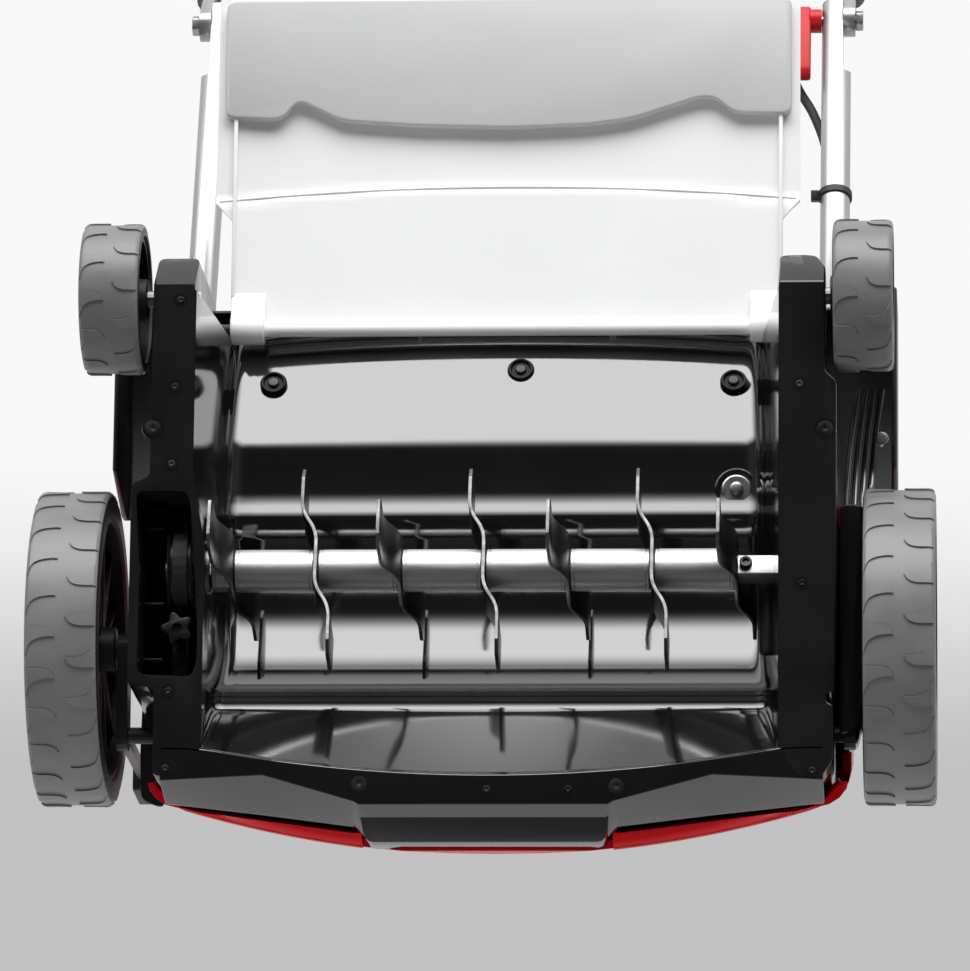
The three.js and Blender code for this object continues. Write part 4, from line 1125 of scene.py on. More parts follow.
@dataclass
class Wheel:
    """A tyre with curved tread blades on a ribbed rim."""

    name: str
    side: Side
    radius: float
    width: float
    x: float
    y: float
    repeats: int
    bore: float
    tread: float = 1.3
    shoulder: float = 4.5
    lower: Sequence[Flat] = ((0.57, 0.0), (0.585, 0.055), (0.61, 0.12), (0.65, 0.18), (0.70, 0.215),
                             (0.78, 0.235), (0.99, 0.24))
    upper: Sequence[Flat] = ((0.57, 0.0), (0.64, 0.01), (0.72, -0.005), (0.80, -0.035), (0.86, -0.08),
                             (0.91, -0.15), (0.95, -0.26), (0.99, -0.5))

    @property
    def centre(self) -> Vector:
        """The wheel's centre."""
        return mm(self.x, self.y, self.radius)

    def build(self) -> None:
        """Models the tyre and the rim."""
        half, inner = self.width / 2, self.radius * 0.84
        crown = self.radius - self.tread
        rounding = arc(0, 0, self.shoulder, 0, 90, 7)
        right = [(self.x - half + self.shoulder - a, crown - self.shoulder + b) for a, b in rounding]
        left = [(self.x + half - self.shoulder + a, crown - self.shoulder + b) for a, b in rounding[::-1]]
        body = turned_x("carcass", [(self.x - half, inner), *right, *left, (self.x + half, inner)],
                        self.y, self.radius, 96)
        fins = joined("fins", [self.fin(column) for column in (0, 1)])
        tyre = joined(f"tread_{self.name}", [body, fins])
        dress(tyre, TYRE_BODY, MATT_BLACK)
        # The tyre's inward-facing side wall takes the matt black finish: painted shade on the side that faces
        # into the machine.
        inner_face = (self.x - self.side.value * (half - 0.5)) * SCALE
        finish_faces(tyre, 1, lambda centre, normal: normal.x * self.side.value < -0.7
                      and (centre.x - inner_face) * self.side.value < 0)
        hang(tyre, f"wheel_{self.name}", None, [f"tyre_{self.name}"], smooth=28)
        self.rim()

    def crown_at(self, u: float) -> float:
        """The tread's outer radius.

        Args:
            u: share of the tyre's width.

        Returns:
            The radius there.
        """
        near = min(u, 1 - u) * self.width
        drop = max(0, self.shoulder - near)
        return self.radius - (self.shoulder - math.sqrt(max(self.shoulder ** 2 - drop ** 2, 0)))

    def fin(self, column: int) -> bpy.types.Object:
        """All the curved blades of one column of the tread; the second column is turned half round.

        Args:
            column: 0 or 1.

        Returns:
            The column's blades.
        """
        pitch = TURN / self.repeats

        def place(s: float, t: float) -> Vector:
            """A point of a blade.

            Args:
                s: share of the way from its tip to the tyre's edge.
                t: share of the way across it.

            Returns:
                The point, in metres.
            """
            u = 0.57 + 0.415 * s
            w = between(self.upper, u) * (1 - t) + between(self.lower, u) * t
            if column:
                u, w = 1 - u, 0.5 - w
            angle, radius = w * pitch, self.crown_at(u)
            x = self.x + self.width * (0.5 - u)
            return mm(x, self.y - radius * math.sin(angle), self.radius - radius * math.cos(angle))

        blade = sheet(f"blades_{column}", 12, 4, place)
        facing = sum(face.normal.dot(face.center - self.centre) for face in blade.data.polygons)
        if facing < 0:
            flipped(blade)
        thick(blade, self.tread + 0.5)
        return repeated(blade, self.repeats, self.centre, Vector((1, 0, 0)))

    def rim(self) -> None:
        """A dished rim with a stepped outer face, ribs behind its web, a hub and a cap."""
        outer, half, hub = self.radius * 0.84 - 0.75, self.width / 2, self.bore + 8
        sign = self.side.value

        def at(depth: float) -> float:
            """X at a distance from the wheel's outer face."""
            return self.x + sign * (half - depth)

        profile = [
            (at(9), self.bore), (at(9), hub - 1), (at(10), hub), (at(10.5), hub + 4),
            (at(5.5), outer - 20), (at(3.5), outer - 12), (at(3.8), outer - 8), (at(1.8), outer - 5),
            (at(1.2), outer - 2), (at(2), outer), (at(self.width - 2), outer), (at(self.width - 2), outer - 3.4),
            (at(9.5), outer - 4), (at(9.2), outer - 14), (at(14), hub + 3), (at(self.width + 1.4), hub),
            (at(self.width + 1.9), hub - 1), (at(self.width + 1.9), self.bore),
        ]
        web = turned_x("web", profile, self.y, self.radius, 72)
        rib = rounded(along_x("rib", [
            (self.y - 1.2, self.radius + hub - 1), (self.y + 1.2, self.radius + hub - 1),
            (self.y + 1.2, self.radius + outer - 3), (self.y - 1.2, self.radius + outer - 3),
        ], *sorted((at(11), at(self.width - 8)))), 0.5, 2)
        ribs = repeated(rib, 12 if self.radius > 80 else 8, self.centre, Vector((1, 0, 0)))
        tall = self.radius + hub + 2
        spoke = rounded(along_x("spoke", [
            (self.y - 3.2, tall), (self.y + 3.2, tall), (self.y + 2, self.radius + outer - 15),
            (self.y - 2, self.radius + outer - 15)], *sorted((at(12), at(5.2)))), 1.2, 2)
        spokes = repeated(spoke, 10 if self.radius > 80 else 6, self.centre, Vector((1, 0, 0)))
        cap = turned_x("cap", [
            (at(9.5), 0), (at(9.5), hub - 2), (at(6.5), hub - 2.4), (at(4.6), hub - 5), (at(4.0), 0),
        ], self.y, self.radius, 40)
        disc = joined(f"wheel_disc_{self.name}", [web, ribs, spokes, cap])
        hang(disc, f"wheel_{self.name}", MATT_BLACK, [f"rim_{self.name}"])


def wheels() -> list[Wheel]:
    """Lays out the four wheels.

    Returns:
        The wheels, left side first.
    """
    made = []
    for side in Side:
        front_x, rear_x = {Side.LEFT: (290.0, 262.0), Side.RIGHT: (-292.5, -267.5)}[side]
        made.append(Wheel(f"front_{side.word}", side, 112, 51, front_x, 0, 24, 7.2))
        made.append(Wheel(f"rear_{side.word}", side, 54, 42.5, rear_x, 241, 12, 6.2))
    return made


# ------------------------------------------------------------------------------- covers


@dataclass
class Covers:
    """The red hood with its lip, grille and side shelf, and the dark rear cover."""

    hood_left: float = 237.0
    hood_right: float = -257.0
    front: float = -118.0
    back: float = 119.0
    bow: float = 34.0
    wall: float = 3.6
    rim: float = 94.0
    lean: float = 0.25

    def build(self) -> None:
        """Models the covers."""
        self.hood()
        self.hood_lip()
        self.grille()
        self.rear_cover()
        self.wing_ribs()
        self.side_shield()

    def plan(self, inset: float) -> list[Flat]:
        """The hood from above: a bowed front between two rounded corners.

        Args:
            inset: how far inside the hood's outer face.

        Returns:
            (x, y) points.
        """
        left, right, front = self.hood_left - inset, self.hood_right + inset, self.front + inset
        bowed = []
        for t in span(0, 1, 15):
            bowed.append((left - 22 + (right - left + 44) * t, front - self.bow * 4 * t * (1 - t)))
        corner_left = [(left, front + 22), (left - 2, front + 13), (left - 7, front + 6.5),
                       (left - 14, front + 2)]
        corner_right = [(2 * DECK_X - x + (left + right - 2 * DECK_X), y) for x, y in corner_left[::-1]]
        return [(left, self.back), *corner_left, *bowed, *corner_right, (right, self.back)]

    def side_line(self, inset: float) -> list[Flat]:
        """The hood from the side, open below.

        Args:
            inset: how far inside the hood's outer face.

        Returns:
            (y, z) points.
        """
        outer = softened([(-149, 94), (-149, 112), (-138, 166), (-108, 232), (-60, 277), (0, 296),
                          (62, 293), (104, 272), (self.back, 236), (self.back, 182.3)], 26, 6,
                         closed=False)
        if not inset:
            return [*outer, (-80, 182.3), (-96, 160), (-100, 94)]
        centre = Vector((-10, 120))
        drawn = []
        for point in outer:
            way = (Vector(point) - centre).normalized() * inset
            drawn.append((point[0] - way.x, point[1] - way.y))
        return [*drawn, (115, 60), (-146, 60)]

    def leaning_plan(self, inset: float) -> bpy.types.Object:
        """The hood's plan pushed up and backwards, so that its front leans back.

        Args:
            inset: how far inside the hood's outer face.

        Returns:
            The leaning block.
        """
        low, high = 40.0, 400.0
        shift = (self.rim - low) * self.lean
        outline = [(x, y - shift if y < 100 else 260) for x, y in self.plan(inset)]
        return prism("plan", [mm(x, y, low) for x, y in outline],
                     Vector((0, (high - low) * self.lean, high - low)) * SCALE)

    def hood(self) -> None:
        """The hood: a full rounded shell with two fine grooves over its top."""
        shell = along_x("hood_shell", self.side_line(0), self.hood_right, self.hood_left)
        common(shell, self.leaning_plan(0))
        rounded(shell, 9, 5, 38)
        hollow = along_x("hollow", self.side_line(self.wall), self.hood_right + 6, self.hood_left - 6)
        common(hollow, self.leaning_plan(6))
        cut(shell, hollow)
        half = 1.2
        run = [(-170, 180), (-120, 252), (-64, 291), (0, 309), (64, 306), (110, 282), (130, 240),
               (119, 233), (103, 269), (61, 291), (0, 294), (-61, 277.5), (-110, 240), (-141, 184)]
        cut(shell, *[along_x("groove", run, x - half, x + half) for x in (104.0, -121.0)])
        hang(shell, Body.CHASSIS, HOOD_RED, ["hood"], smooth=34)

    def hood_lip(self) -> None:
        """The hood's red lower edge on both sides of the nose, turned in under the chassis."""
        for side, stations in ((Side.LEFT, span(231, 84, 22)), (Side.RIGHT, span(-251, -92, 22))):
            count = len(stations)

            def place(u: float, v: float) -> Vector:
                """A point of the lip.

                Args:
                    u: share of the way along the edge.
                    v: share of the way from its inner line outwards.

                Returns:
                    The point, in metres.
                """
                x = stations[round(u * (count - 1))]
                t = (x - (self.hood_left + self.hood_right) / 2) / 225
                outer = self.front - self.bow * max(0, 1 - t * t)
                if abs(t) > 1:
                    outer = self.front + (abs(t) - 1) * 225
                inner = min(between([(-240, -117), (-163, -127), (-97, -135.4), (89, -135.4), (150, -127),
                                     (222, -117)], x) - 0.5, outer + 18)
                inner = max(inner, outer + 2.0)
                lines = [(inner + 1, 96), (inner, 88), (inner - 2, 86), ((inner + outer) / 2, 87.5),
                         (outer + 2.4, 91), (outer + 0.6, 94), (outer, 99)]
                y, z = lines[round(v * 6)]
                return mm(x, y, z)

            lip = sheet(f"hood_lip_{side.word}", count, 7, place)
            Underbody.face_down(lip)
            thick(lip, 2)
            hang(lip, Body.CHASSIS, HOOD_RED, smooth=40)

    def grille(self) -> None:
        """The air grille: a slotted dark panel on the hood."""
        outline = softened([(-90, 262), (-62, 284), (0, 301), (62, 298), (92, 284), (92, 270), (60, 286),
                            (0, 289), (-60, 272)], 8, 4)
        panel = along_x("vent_grille_panel", outline, DECK_X - 80, DECK_X + 80)
        slots = [along_z("slot", softened([
            (DECK_X - 62, -40 + i * 20), (DECK_X + 62, -40 + i * 20), (DECK_X + 62, -32 + i * 20),
            (DECK_X - 62, -32 + i * 20)], 3.5), 200, 320) for i in range(5)]
        cut(panel, *slots)
        rounded(panel, 1.2, 3, 40)
        hang(panel, Body.CHASSIS, MATT_BLACK, ["vent_grille"])

    def rear_cover(self) -> None:
        """The dark cover over the outlet, with a wing behind each front wheel."""
        front, rear, bottom, top, w = 119.6, 273, 150, 239, self.wall
        shell = along_x("rear_cover_shell", [
            (front, bottom + 62), (front + 20, bottom), (rear, bottom), (rear, top - 8), (rear - 10, top),
            (front + 30, top), (front, top - 14)], -290, 273)
        inside = along_x("inside", [
            (front - 2, bottom - 20), (rear - w, bottom - 20), (rear - w, top - 10), (rear - 12, top - w),
            (front + 30, top - w), (front - 2, top - 19)], -290 + w, 273 - w)
        outlet = along_z("outlet", [(-250.5, rear - 8), (234, rear - 8), (234, rear + 5),
                                    (-250.5, rear + 5)], 0, 206.5)
        gate = along_z("gate", [(-253.5, front - 5), (246, front - 5), (246, front + 30),
                                (-253.5, front + 30)], 0, 212)
        cut(shell, inside, outlet, gate)
        rounded(shell, 2.2, 4, 36)
        hang(shell, Body.CHASSIS, COVER_GREY, ["rear_cover"], smooth=34)

    def wing_ribs(self) -> None:
        """Curved stiffeners under the right wing, its screw, and the dark box beside the right rail."""
        ribs = []
        for i in range(4):
            x = -255 - 5.5 * i
            route = [mm(x + 1, 92 + 6 * i, 128), mm(x, 124, 134 + 3 * i), mm(x - 3, 160, 141 + 2 * i),
                     mm(x - 8, 196, 147)]
            ribs.append(rod("rib", route, 2.2, steps=6))
        hang(joined("wing_ribs", ribs), Body.CHASSIS, GLOSS_BLACK)
        box = along_z("right_side_box", softened([
            (-250, 100), (-266, 100), (-268, 64), (-267, -40), (-262, -62), (-250, -66)], 5), 96, 170)
        chamfer = along_x("chamfer", [(-80, 80), (110, 80), (110, 60), (-80, 60)], -300, -240)
        cut(box, chamfer)
        rounded(box, 3, 4, 30)
        hang(box, Body.CHASSIS, RAIL_BLACK)
        screw = turned_z("wing_screw", [
            (0, 146), (2.0, 145.4), (4.6, 146), (5.4, 147.4), (5.4, 151), (0, 151)], -279, 160)
        hang(screw, Body.CHASSIS, ZINC)


    def side_shield(self) -> None:
        """The dark shelf on the hood's left side, between the hood and the front wheel."""
        plan = softened([(232, -104), (249.5, -98), (250.5, -60), (249.5, -22), (232, -18)], 6)
        shelf = rounded(along_z("side_shield", plan, 168, 172), 1.2, 3)
        hang(shelf, Body.CHASSIS, MATT_BLACK)


# ------------------------------------------------------------------------------- flap


@dataclass
class Flap:
    """The light rear flap: a stepped panel with skirts, a hinge barrel, knuckles and a thick lip."""

    y: float = 252.0
    z: float = 183.0
    top: float = 190.0
    step: float = 349.0
    step_rise: float = 10.4
    narrow: Flat = (193.0, -207.2)
    wide: Flat = (205.5, -219.6)

    def build(self) -> None:
        """Models the flap."""
        parts = [self.panel(), self.step_bead(), self.barrel(), *self.skirts(), *self.knuckles()]
        hang(joined("rear_flap_shell", parts), Body.FLAP, FLAP_WHITE, ["rear_flap"],
             smooth=30)
        hang(self.thick_lip(), Body.FLAP, FLAP_GREY)
        section = [(254, 191), (260, 191), (260, 195), (254, 195)]
        strips = []
        for x0, x1 in ((171, 58), (56, -81), (-86, -183)):
            strips.append(rounded(along_x("strip", section, x0, x1), 0.8))
        hang(joined("rear_flap_strips", strips), Body.FLAP, FLAP_WHITE)

    def edge(self, y: float) -> Flat:
        """The panel's left and right edge at a depth."""
        return (between([(334, self.narrow[0]), (348, self.wide[0])], y),
                between([(334, self.narrow[1]), (348, self.wide[1])], y))

    def panel(self) -> bpy.types.Object:
        """The panel, slightly crowned, with a low arched step across it.

        Returns:
            The panel with its wall.
        """
        depths = [257.5, 290, 320, 334, 341, 348, 352, 356, 360, 366, 380, 400, 440, 480, 500, 510, 516,
                  519.4]

        def place(u: float, v: float) -> Vector:
            """A point of the panel.

            Args:
                u: share of the way across.
                v: share of the way from the knuckles to the far end.

            Returns:
                The point, in metres.
            """
            y = depths[round(v * (len(depths) - 1))]
            left, right = self.edge(y)
            round_off = max(0.0, y - 500)
            inset = 20 - math.sqrt(max(400 - round_off ** 2, 0)) if round_off else 0
            x = left - inset + (right - left + 2 * inset) * u
            t = 2 * u - 1
            arch = self.step + self.step_rise * (1 - t * t)
            rise = min(max((y - arch + 2) / 4, 0), 1)
            return mm(x, y, self.top - 4 + 2.2 * rise - 1.5 * t * t)

        sheet_made = sheet("flap_panel", 41, len(depths), place)
        Underbody.face_down(sheet_made)
        return thick(sheet_made, 3)

    def step_bead(self) -> bpy.types.Object:
        """The fine bead along the arched step.

        Returns:
            The bead.
        """
        route = []
        for x in span(203, -217, 15):
            t = (x + 7) / 212
            route.append(mm(x, self.step + self.step_rise * (1 - t ** 2), self.top - 3.2 - 1.5 * t ** 2))
        return rod("bead", route, 0.9, sides=2, steps=3)

    def barrel(self) -> bpy.types.Object:
        """The rolled front edge that wraps the hinge rod between the knuckles.

        Returns:
            The tube.
        """
        bore, outer = 4.4, 5.4
        profile = [(-184.5, bore), (-184.5, outer), (168.5, outer), (168.5, bore)]
        return turned_x("barrel", profile, self.y, self.z)

    def thick_lip(self) -> bpy.types.Object:
        """The thick lip, whose front edge steps back between two notches."""
        plan = softened([
            (199.5, 411), (158, 409), (146, 424), (114, 408), (60, 404), (-8, 402), (-66, 404),
            (-97, 408), (-146, 424), (-157.5, 424), (-172, 412), (-213.6, 411), (-213.6, 500),
            (199.5, 500)], 7, 4)
        return rounded(along_z("rear_flap_lip", plan, self.top - 12, self.top - 2), 2, 3)

    def skirts(self) -> list[bpy.types.Object]:
        """A skirt down each side.

        Returns:
            Both skirts.
        """
        left, right = self.narrow
        wall = 3
        section = [(276, self.top - 9), (412, self.top - 10), (412, self.top - 2), (276, self.top - 2)]
        sides = ((left - wall, left), (right, right + wall))
        return [rounded(along_x("skirt", section, x0, x1), 0.9) for x0, x1 in sides]

    def knuckles(self) -> list[bpy.types.Object]:
        """A hinge knuckle at each side.

        Returns:
            Both knuckles.
        """
        made = []
        for x0, x1 in ((168, 192.5), (-206, -184)):
            outline = [*arc(self.y, self.z, 11, 90, 330, 17), (276, self.z - 2), (281, self.z + 3),
                       (281, self.z + 7)]
            block = along_x("knuckle", outline, x0, x1)
            way = [(x0 - 2, 0), (x0 - 2, 4.3), (x1 + 2, 4.3), (x1 + 2, 0)]
            cut(block, turned_x("bore", way, self.y, self.z))
            made.append(rounded(block, 1.2, 3, 40))
        return made


# ------------------------------------------------------------------------------- handle


@dataclass
class Handle:
    """The folding handle: lower tubes, clamps, upper handle, grip, bail, switch box and lead."""

    radius: float = 11.0
    spread: float = 234.0
    foot: Flat = (205.0, 252.4)
    slope: float = math.radians(20)
    pivot: Flat = (540.0, 374.3)
    leg_slope: float = math.radians(50)
    leg: float = 720.0
    leg_spread: float = 244.0
    corner: float = 70.0
    gap: float = 0.3
    lead: float = 3.5

    def build(self) -> None:
        """Models the handle."""
        for side in Side:
            self.lower_tube(side)
            self.socket(side)
            self.clamp(side)
        self.upper()
        self.grip()
        self.bail()
        self.switch_box()
        self.leads()
        self.tie()

    def on_tube(self, side: Side, distance: float) -> Vector:
        """A place on a lower tube's centre line."""
        return mm(DECK_X + side.value * self.spread, self.foot[0] + distance * math.cos(self.slope),
                  self.foot[1] + distance * math.sin(self.slope))

    def on_leg(self, side: Side, distance: float, inward: float = 0, lift: float = 0) -> Vector:
        """A place along the upper handle's leg, moved inwards and square to the leg."""
        cos, sin = math.cos(self.leg_slope), math.sin(self.leg_slope)
        return mm(DECK_X + side.value * (self.leg_spread - inward),
                  self.pivot[0] + distance * cos - lift * sin,
                  self.pivot[1] + distance * sin + lift * cos)

    def outward(self, side: Side, near: float, far: float) -> Flat:
        """Low and high X between two distances outwards from a lower tube's centre."""
        return tuple(sorted(DECK_X + side.value * (self.spread + d) for d in (near, far)))

    def turned_out(self, outline: Sequence[Flat], slope: float) -> list[Flat]:
        """A (y, z) outline given along and square to a direction from the fold's centre."""
        (y, z), cos, sin = self.pivot, math.cos(slope), math.sin(slope)
        return [(y + u * cos - v * sin, z + u * sin + v * cos) for u, v in outline]

    def straight(self, name: str, start: Vector, end: Vector, radius: float) -> bpy.types.Object:
        """A straight round bar between two places.

        Args:
            name: the bar's name.
            start: middle of its first end, in metres.
            end: middle of its other end, in metres.
            radius: its radius.

        Returns:
            The bar.
        """
        deselect()
        way = end - start
        bpy.ops.mesh.primitive_cylinder_add(vertices=40, radius=radius * SCALE, depth=way.length,
                                            location=(start + end) / 2,
                                            rotation=way.to_track_quat("Z", "Y").to_euler())
        piece = bpy.context.object
        piece.name = name
        settle(piece)
        return piece

    def bolt_hole(self, side: Side) -> bpy.types.Object:
        """The way of a clamp bolt."""
        x0, x1 = self.outward(side, -40, 40)
        return turned_x("hole", [(x0, 0), (x0, 4.3), (x1, 4.3), (x1, 0)], *self.pivot, steps=24)

    def lower_tube(self, side: Side) -> None:
        """A lower tube with its flat at the fold.

        Args:
            side: which side it stands on.
        """
        length = (self.pivot[0] - self.foot[0]) / math.cos(self.slope) + 14
        tube = self.straight(f"lower_tube_{side.word}_bar", self.on_tube(side, 0),
                             self.on_tube(side, length), self.radius)
        x0, x1 = self.outward(side, 5, 30)
        y, z = self.pivot
        flat = along_x("flat", [(y - 46, z - 60), (y + 60, z - 60), (y + 60, z + 60), (y - 46, z + 60)],
                       x0, x1)
        cut(tube, flat, self.bolt_hole(side))
        rounded(tube, 0.8, 3, 50)
        hang(tube, Body.CHASSIS, TUBE_SILVER, [f"lower_tube_{side.word}"])

    def socket(self, side: Side) -> None:
        """The bracket that clamps a lower tube to the rear cover.

        Args:
            side: which side it stands on.
        """
        x0, x1 = self.outward(side, -17, 17)
        base = 239.3
        saddle = along_x(f"tube_socket_{side.word}_clamp", softened([
            (196, base), (262, base), (262, 288), (240, 290), (196, 272)], 6), x0, x1)
        rounded(saddle, 3, 4, 36)
        cut(saddle, self.straight("way", self.on_tube(side, -self.gap), self.on_tube(side, 120),
                                  self.radius + self.gap))
        hang(saddle, Body.CHASSIS, MATT_BLACK, [f"tube_socket_{side.word}"])

    def clamp(self, side: Side) -> None:
        """A clamp bolt and the red lever on its inner end.

        Args:
            side: which side they are on.
        """
        y, z = self.pivot
        b0, b1 = self.outward(side, -19, 16)
        h0, h1 = self.outward(side, 14.3, 20)
        shank = turned_x("shank", [(b0, 0), (b0, 3.4), (b0 + 0.6, 4), (b1 - 0.6, 4), (b1, 3.4), (b1, 0)],
                         y, z)
        head = rounded(along_x("head", arc(y, z, 8, 0, 300, 6), h0, h1), 0.9)
        hang(joined(f"clamp_bolt_{side.word}_steel", [shank, head]), Body.CHASSIS, ZINC,
             [f"clamp_bolt_{side.word}"])
        c0, c1 = self.outward(side, -20, -self.radius - self.gap)
        collar = turned_x("collar", [(c0, 4.3), (c0, 9), (c1, 9), (c1, 4.3)], y, z)
        a0, a1 = self.outward(side, -30, -19.3)
        paddle = along_x("paddle", softened(self.turned_out(
            [(10, -8), (10, 8), (-50, 6.5), (-56, 0), (-50, -6.5)], self.slope), 5, 5), a0, a1)
        rounded(paddle, 2, 4, 30)
        lever = joined(f"clamp_lever_{side.word}_grip", [collar, paddle])
        hang(lever, f"clamp_lever_{side.word}", TRIM_RED, [f"clamp_lever_{side.word}"])

    def upper(self) -> None:
        """The upper handle: a bent tube whose flat feet lie against the lower tubes."""
        route = []
        for side in Side:
            bend = []
            for i in range(9):
                angle = math.pi / 2 * i / 8
                bend.append(self.on_leg(side, self.leg - self.corner * (1 - math.sin(angle)),
                                        self.corner * (1 - math.cos(angle))))
            run = [self.on_leg(side, 48), *bend]
            route += run if side is Side.LEFT else run[::-1]
        tube = rod("upper_handle_tube", route, self.radius, smooth=False, sides=8)
        parts = [tube]
        for side in Side:
            x0, x1 = self.outward(side, 5.3, 14)
            foot = along_x("foot", softened([
                *self.turned_out([(0, -12), (66, -9), (66, 9), (0, 12)], self.leg_slope)], 3), x0, x1)
            eye = turned_x("eye", [(x0, 0), (x0, 12), (x1, 12), (x1, 0)], *self.pivot)
            for part in (foot, eye):
                cut(part, self.bolt_hole(side))
                parts.append(rounded(part, 1.0, 3, 40))
        hang(joined("upper_handle_frame", parts), Body.HANDLE, TUBE_SILVER,
             ["upper_handle"])

    def grip(self) -> None:
        """The soft grip with fine rings on the cross bar."""
        top = self.on_leg(Side.LEFT, self.leg)
        y, z = (top.y - AXLE_Y) / SCALE, top.z / SCALE
        inner, outer = 11.6, 15.5
        profile = [(-60, inner), (-60, outer - 1.2), (-58.6, outer)]
        for i in range(35):
            x = -54 + i * 6.1
            profile += [(x, outer), (x + 0.8, outer - 0.9), (x + 2.2, outer - 0.9), (x + 3.0, outer)]
        profile += [(163.6, outer), (165, outer - 1.2), (165, inner)]
        hang(turned_x("handle_grip_sleeve", profile, y, z, 40), Body.HANDLE, RUBBER,
             ["handle_grip"])

    def bail(self) -> None:
        """The bail: a wire loop hinged in both legs."""
        pivot = self.on_leg(Side.LEFT, self.leg - 130)
        slope = self.leg_slope + math.radians(28)
        top = pivot + Vector((0, math.cos(slope), math.sin(slope))) * 130 * SCALE
        left, right = DECK_X + 222, DECK_X - 222
        route = []
        for x, outer in ((left, left + 16), (right, right - 16)):
            sign = 1 if x > DECK_X else -1
            reach = 12 * SCALE
            way = (top - pivot).normalized()
            run = [Vector((outer * SCALE, *pivot.yz)), Vector(((x + sign * 3) * SCALE, *pivot.yz))]
            run += [Vector((x * SCALE, *(pivot + way * 3 * SCALE).yz)),
                    Vector((x * SCALE, *(top - way * reach).yz))]
            run += [Vector(((x - sign * 3.5) * SCALE, *(top - way * 3.5 * SCALE).yz)),
                    Vector(((x - sign * 12) * SCALE, *top.yz))]
            route += run if sign > 0 else run[::-1]
        hang(rod("bail_wire", route, 4, smooth=False), Body.BAIL, SATIN_BLACK, ["bail"])

    def switch_box(self) -> None:
        """The switch box with a ring round its inlet, and the start button."""
        top = self.on_leg(Side.LEFT, self.leg)
        y, z = (top.y - AXLE_Y) / SCALE, top.z / SCALE
        box = along_x("switch_box_shell", softened([
            (y - 24, z - 46), (y + 24, z - 46), (y + 24, z + 6), (y - 14, z + 6), (y - 24, z - 6)], 5, 4),
            -168, -72)
        rounded(box, 3, 4, 36)
        way = turned_x("way", [(-300, 0), (-300, 11.3), (0, 11.3), (0, 0)], y, z)
        inlet = turned_z("inlet", [(0, z - 60), (13, z - 60), (13, z - 24), (0, z - 24)], -92, y - 2)
        well = self.button_block("well", y, z, 0.3, 5)
        seam = along_x("seam", [(y - 30, z - 21), (y + 30, z - 21), (y + 30, z - 20.2),
                                (y - 30, z - 20.2)], -72.8, -60)
        cut(box, way, inlet, well, seam)
        hang(box, Body.HANDLE, MATT_BLACK, ["switch_box"], smooth=34)
        ring = turned_z("inlet_ring", [(12.7, z - 46.5), (9.2, z - 45), (9.2, z - 30), (12.7, z - 30)],
                        -92, y - 2)
        hang(ring, Body.HANDLE, SATIN_BLACK)
        button = self.button_block("start_button_cap", y, z, 0, 0)
        rounded(button, 1.4, 4, 30)
        hang(button, Body.BUTTON, TRIM_RED, ["start_button"])

    @staticmethod
    def button_block(name: str, y: float, z: float, grow: float, room: float) -> bpy.types.Object:
        """The button's block, grown by a clearance, with room behind it.

        Args:
            name: the block's name.
            y: depth of the handle's cross bar.
            z: height of the handle's cross bar.
            grow: the clearance.
            room: the room behind it.

        Returns:
            The block.
        """
        low, high = z - 26 - grow, z - 14 + grow
        near, far = y + 24 - 8 - room, y + 29 + grow
        face = [(near, low), (far, low), (far, high), (near, high)]
        return along_x(name, face, -133 - grow, -107 + grow)

    def leads(self) -> None:
        """The motor's lead: one length on the chassis and one on the upper handle."""
        z = self.pivot[1]
        lower = [
            (-214, 119.6, 258), (-214, 134, 258), (-216, 160, 262), (-218, 200, 272), (-220, 255, 289),
            (-231, 310, 309), (-240, 350, 322.5), (-242, 387, 334.5), (-237, 425, 349),
            (-226, 462, 362.5), (-212, 490, 372), (-206.5, 508, 374.6), (-205, 521, 374.8),
            (-201.5, 531.5, 374.5),
            (-196, 538, z), (-190, 540, z), (-187, 540, z),
        ]
        self.lead_piece("motor_lead_lower", [mm(*p) for p in lower], Body.CHASSIS, "motor_cable_lower")
        right = Side.RIGHT
        top = self.on_leg(right, self.leg)
        end_y, end_z = (top.y - AXLE_Y) / SCALE, top.z / SCALE
        upper = [mm(*p) for p in (
            (-186.9, 540, z), (-183.5, 540, z), (-177.5, 542.5, 376.5), (-175, 549, 383),
            (-178, 558, 394), (-187, 570, 410))]
        along_leg = ((75, 44, 0), (108, 28, 0), (145, 19, 0), (190, 16, 0), (320, 16, 0), (480, 16, 0),
                     (540, 15, -9), (590, 22, -17), (640, 42, -24))
        for distance, inward, lift in along_leg:
            upper.append(self.on_leg(right, distance, inward, lift))
        upper += [mm(-186, end_y - 12, end_z - 37), mm(-169, end_y - 10, end_z - 35)]
        self.lead_piece("motor_lead_upper", upper, Body.HANDLE, "motor_cable_upper")

    def lead_piece(self, name: str, route: Sequence[Vector], body: Body, node: str) -> None:
        """One length of the lead."""
        hang(rod(name, route, self.lead, steps=8), body, RUBBER, [node])

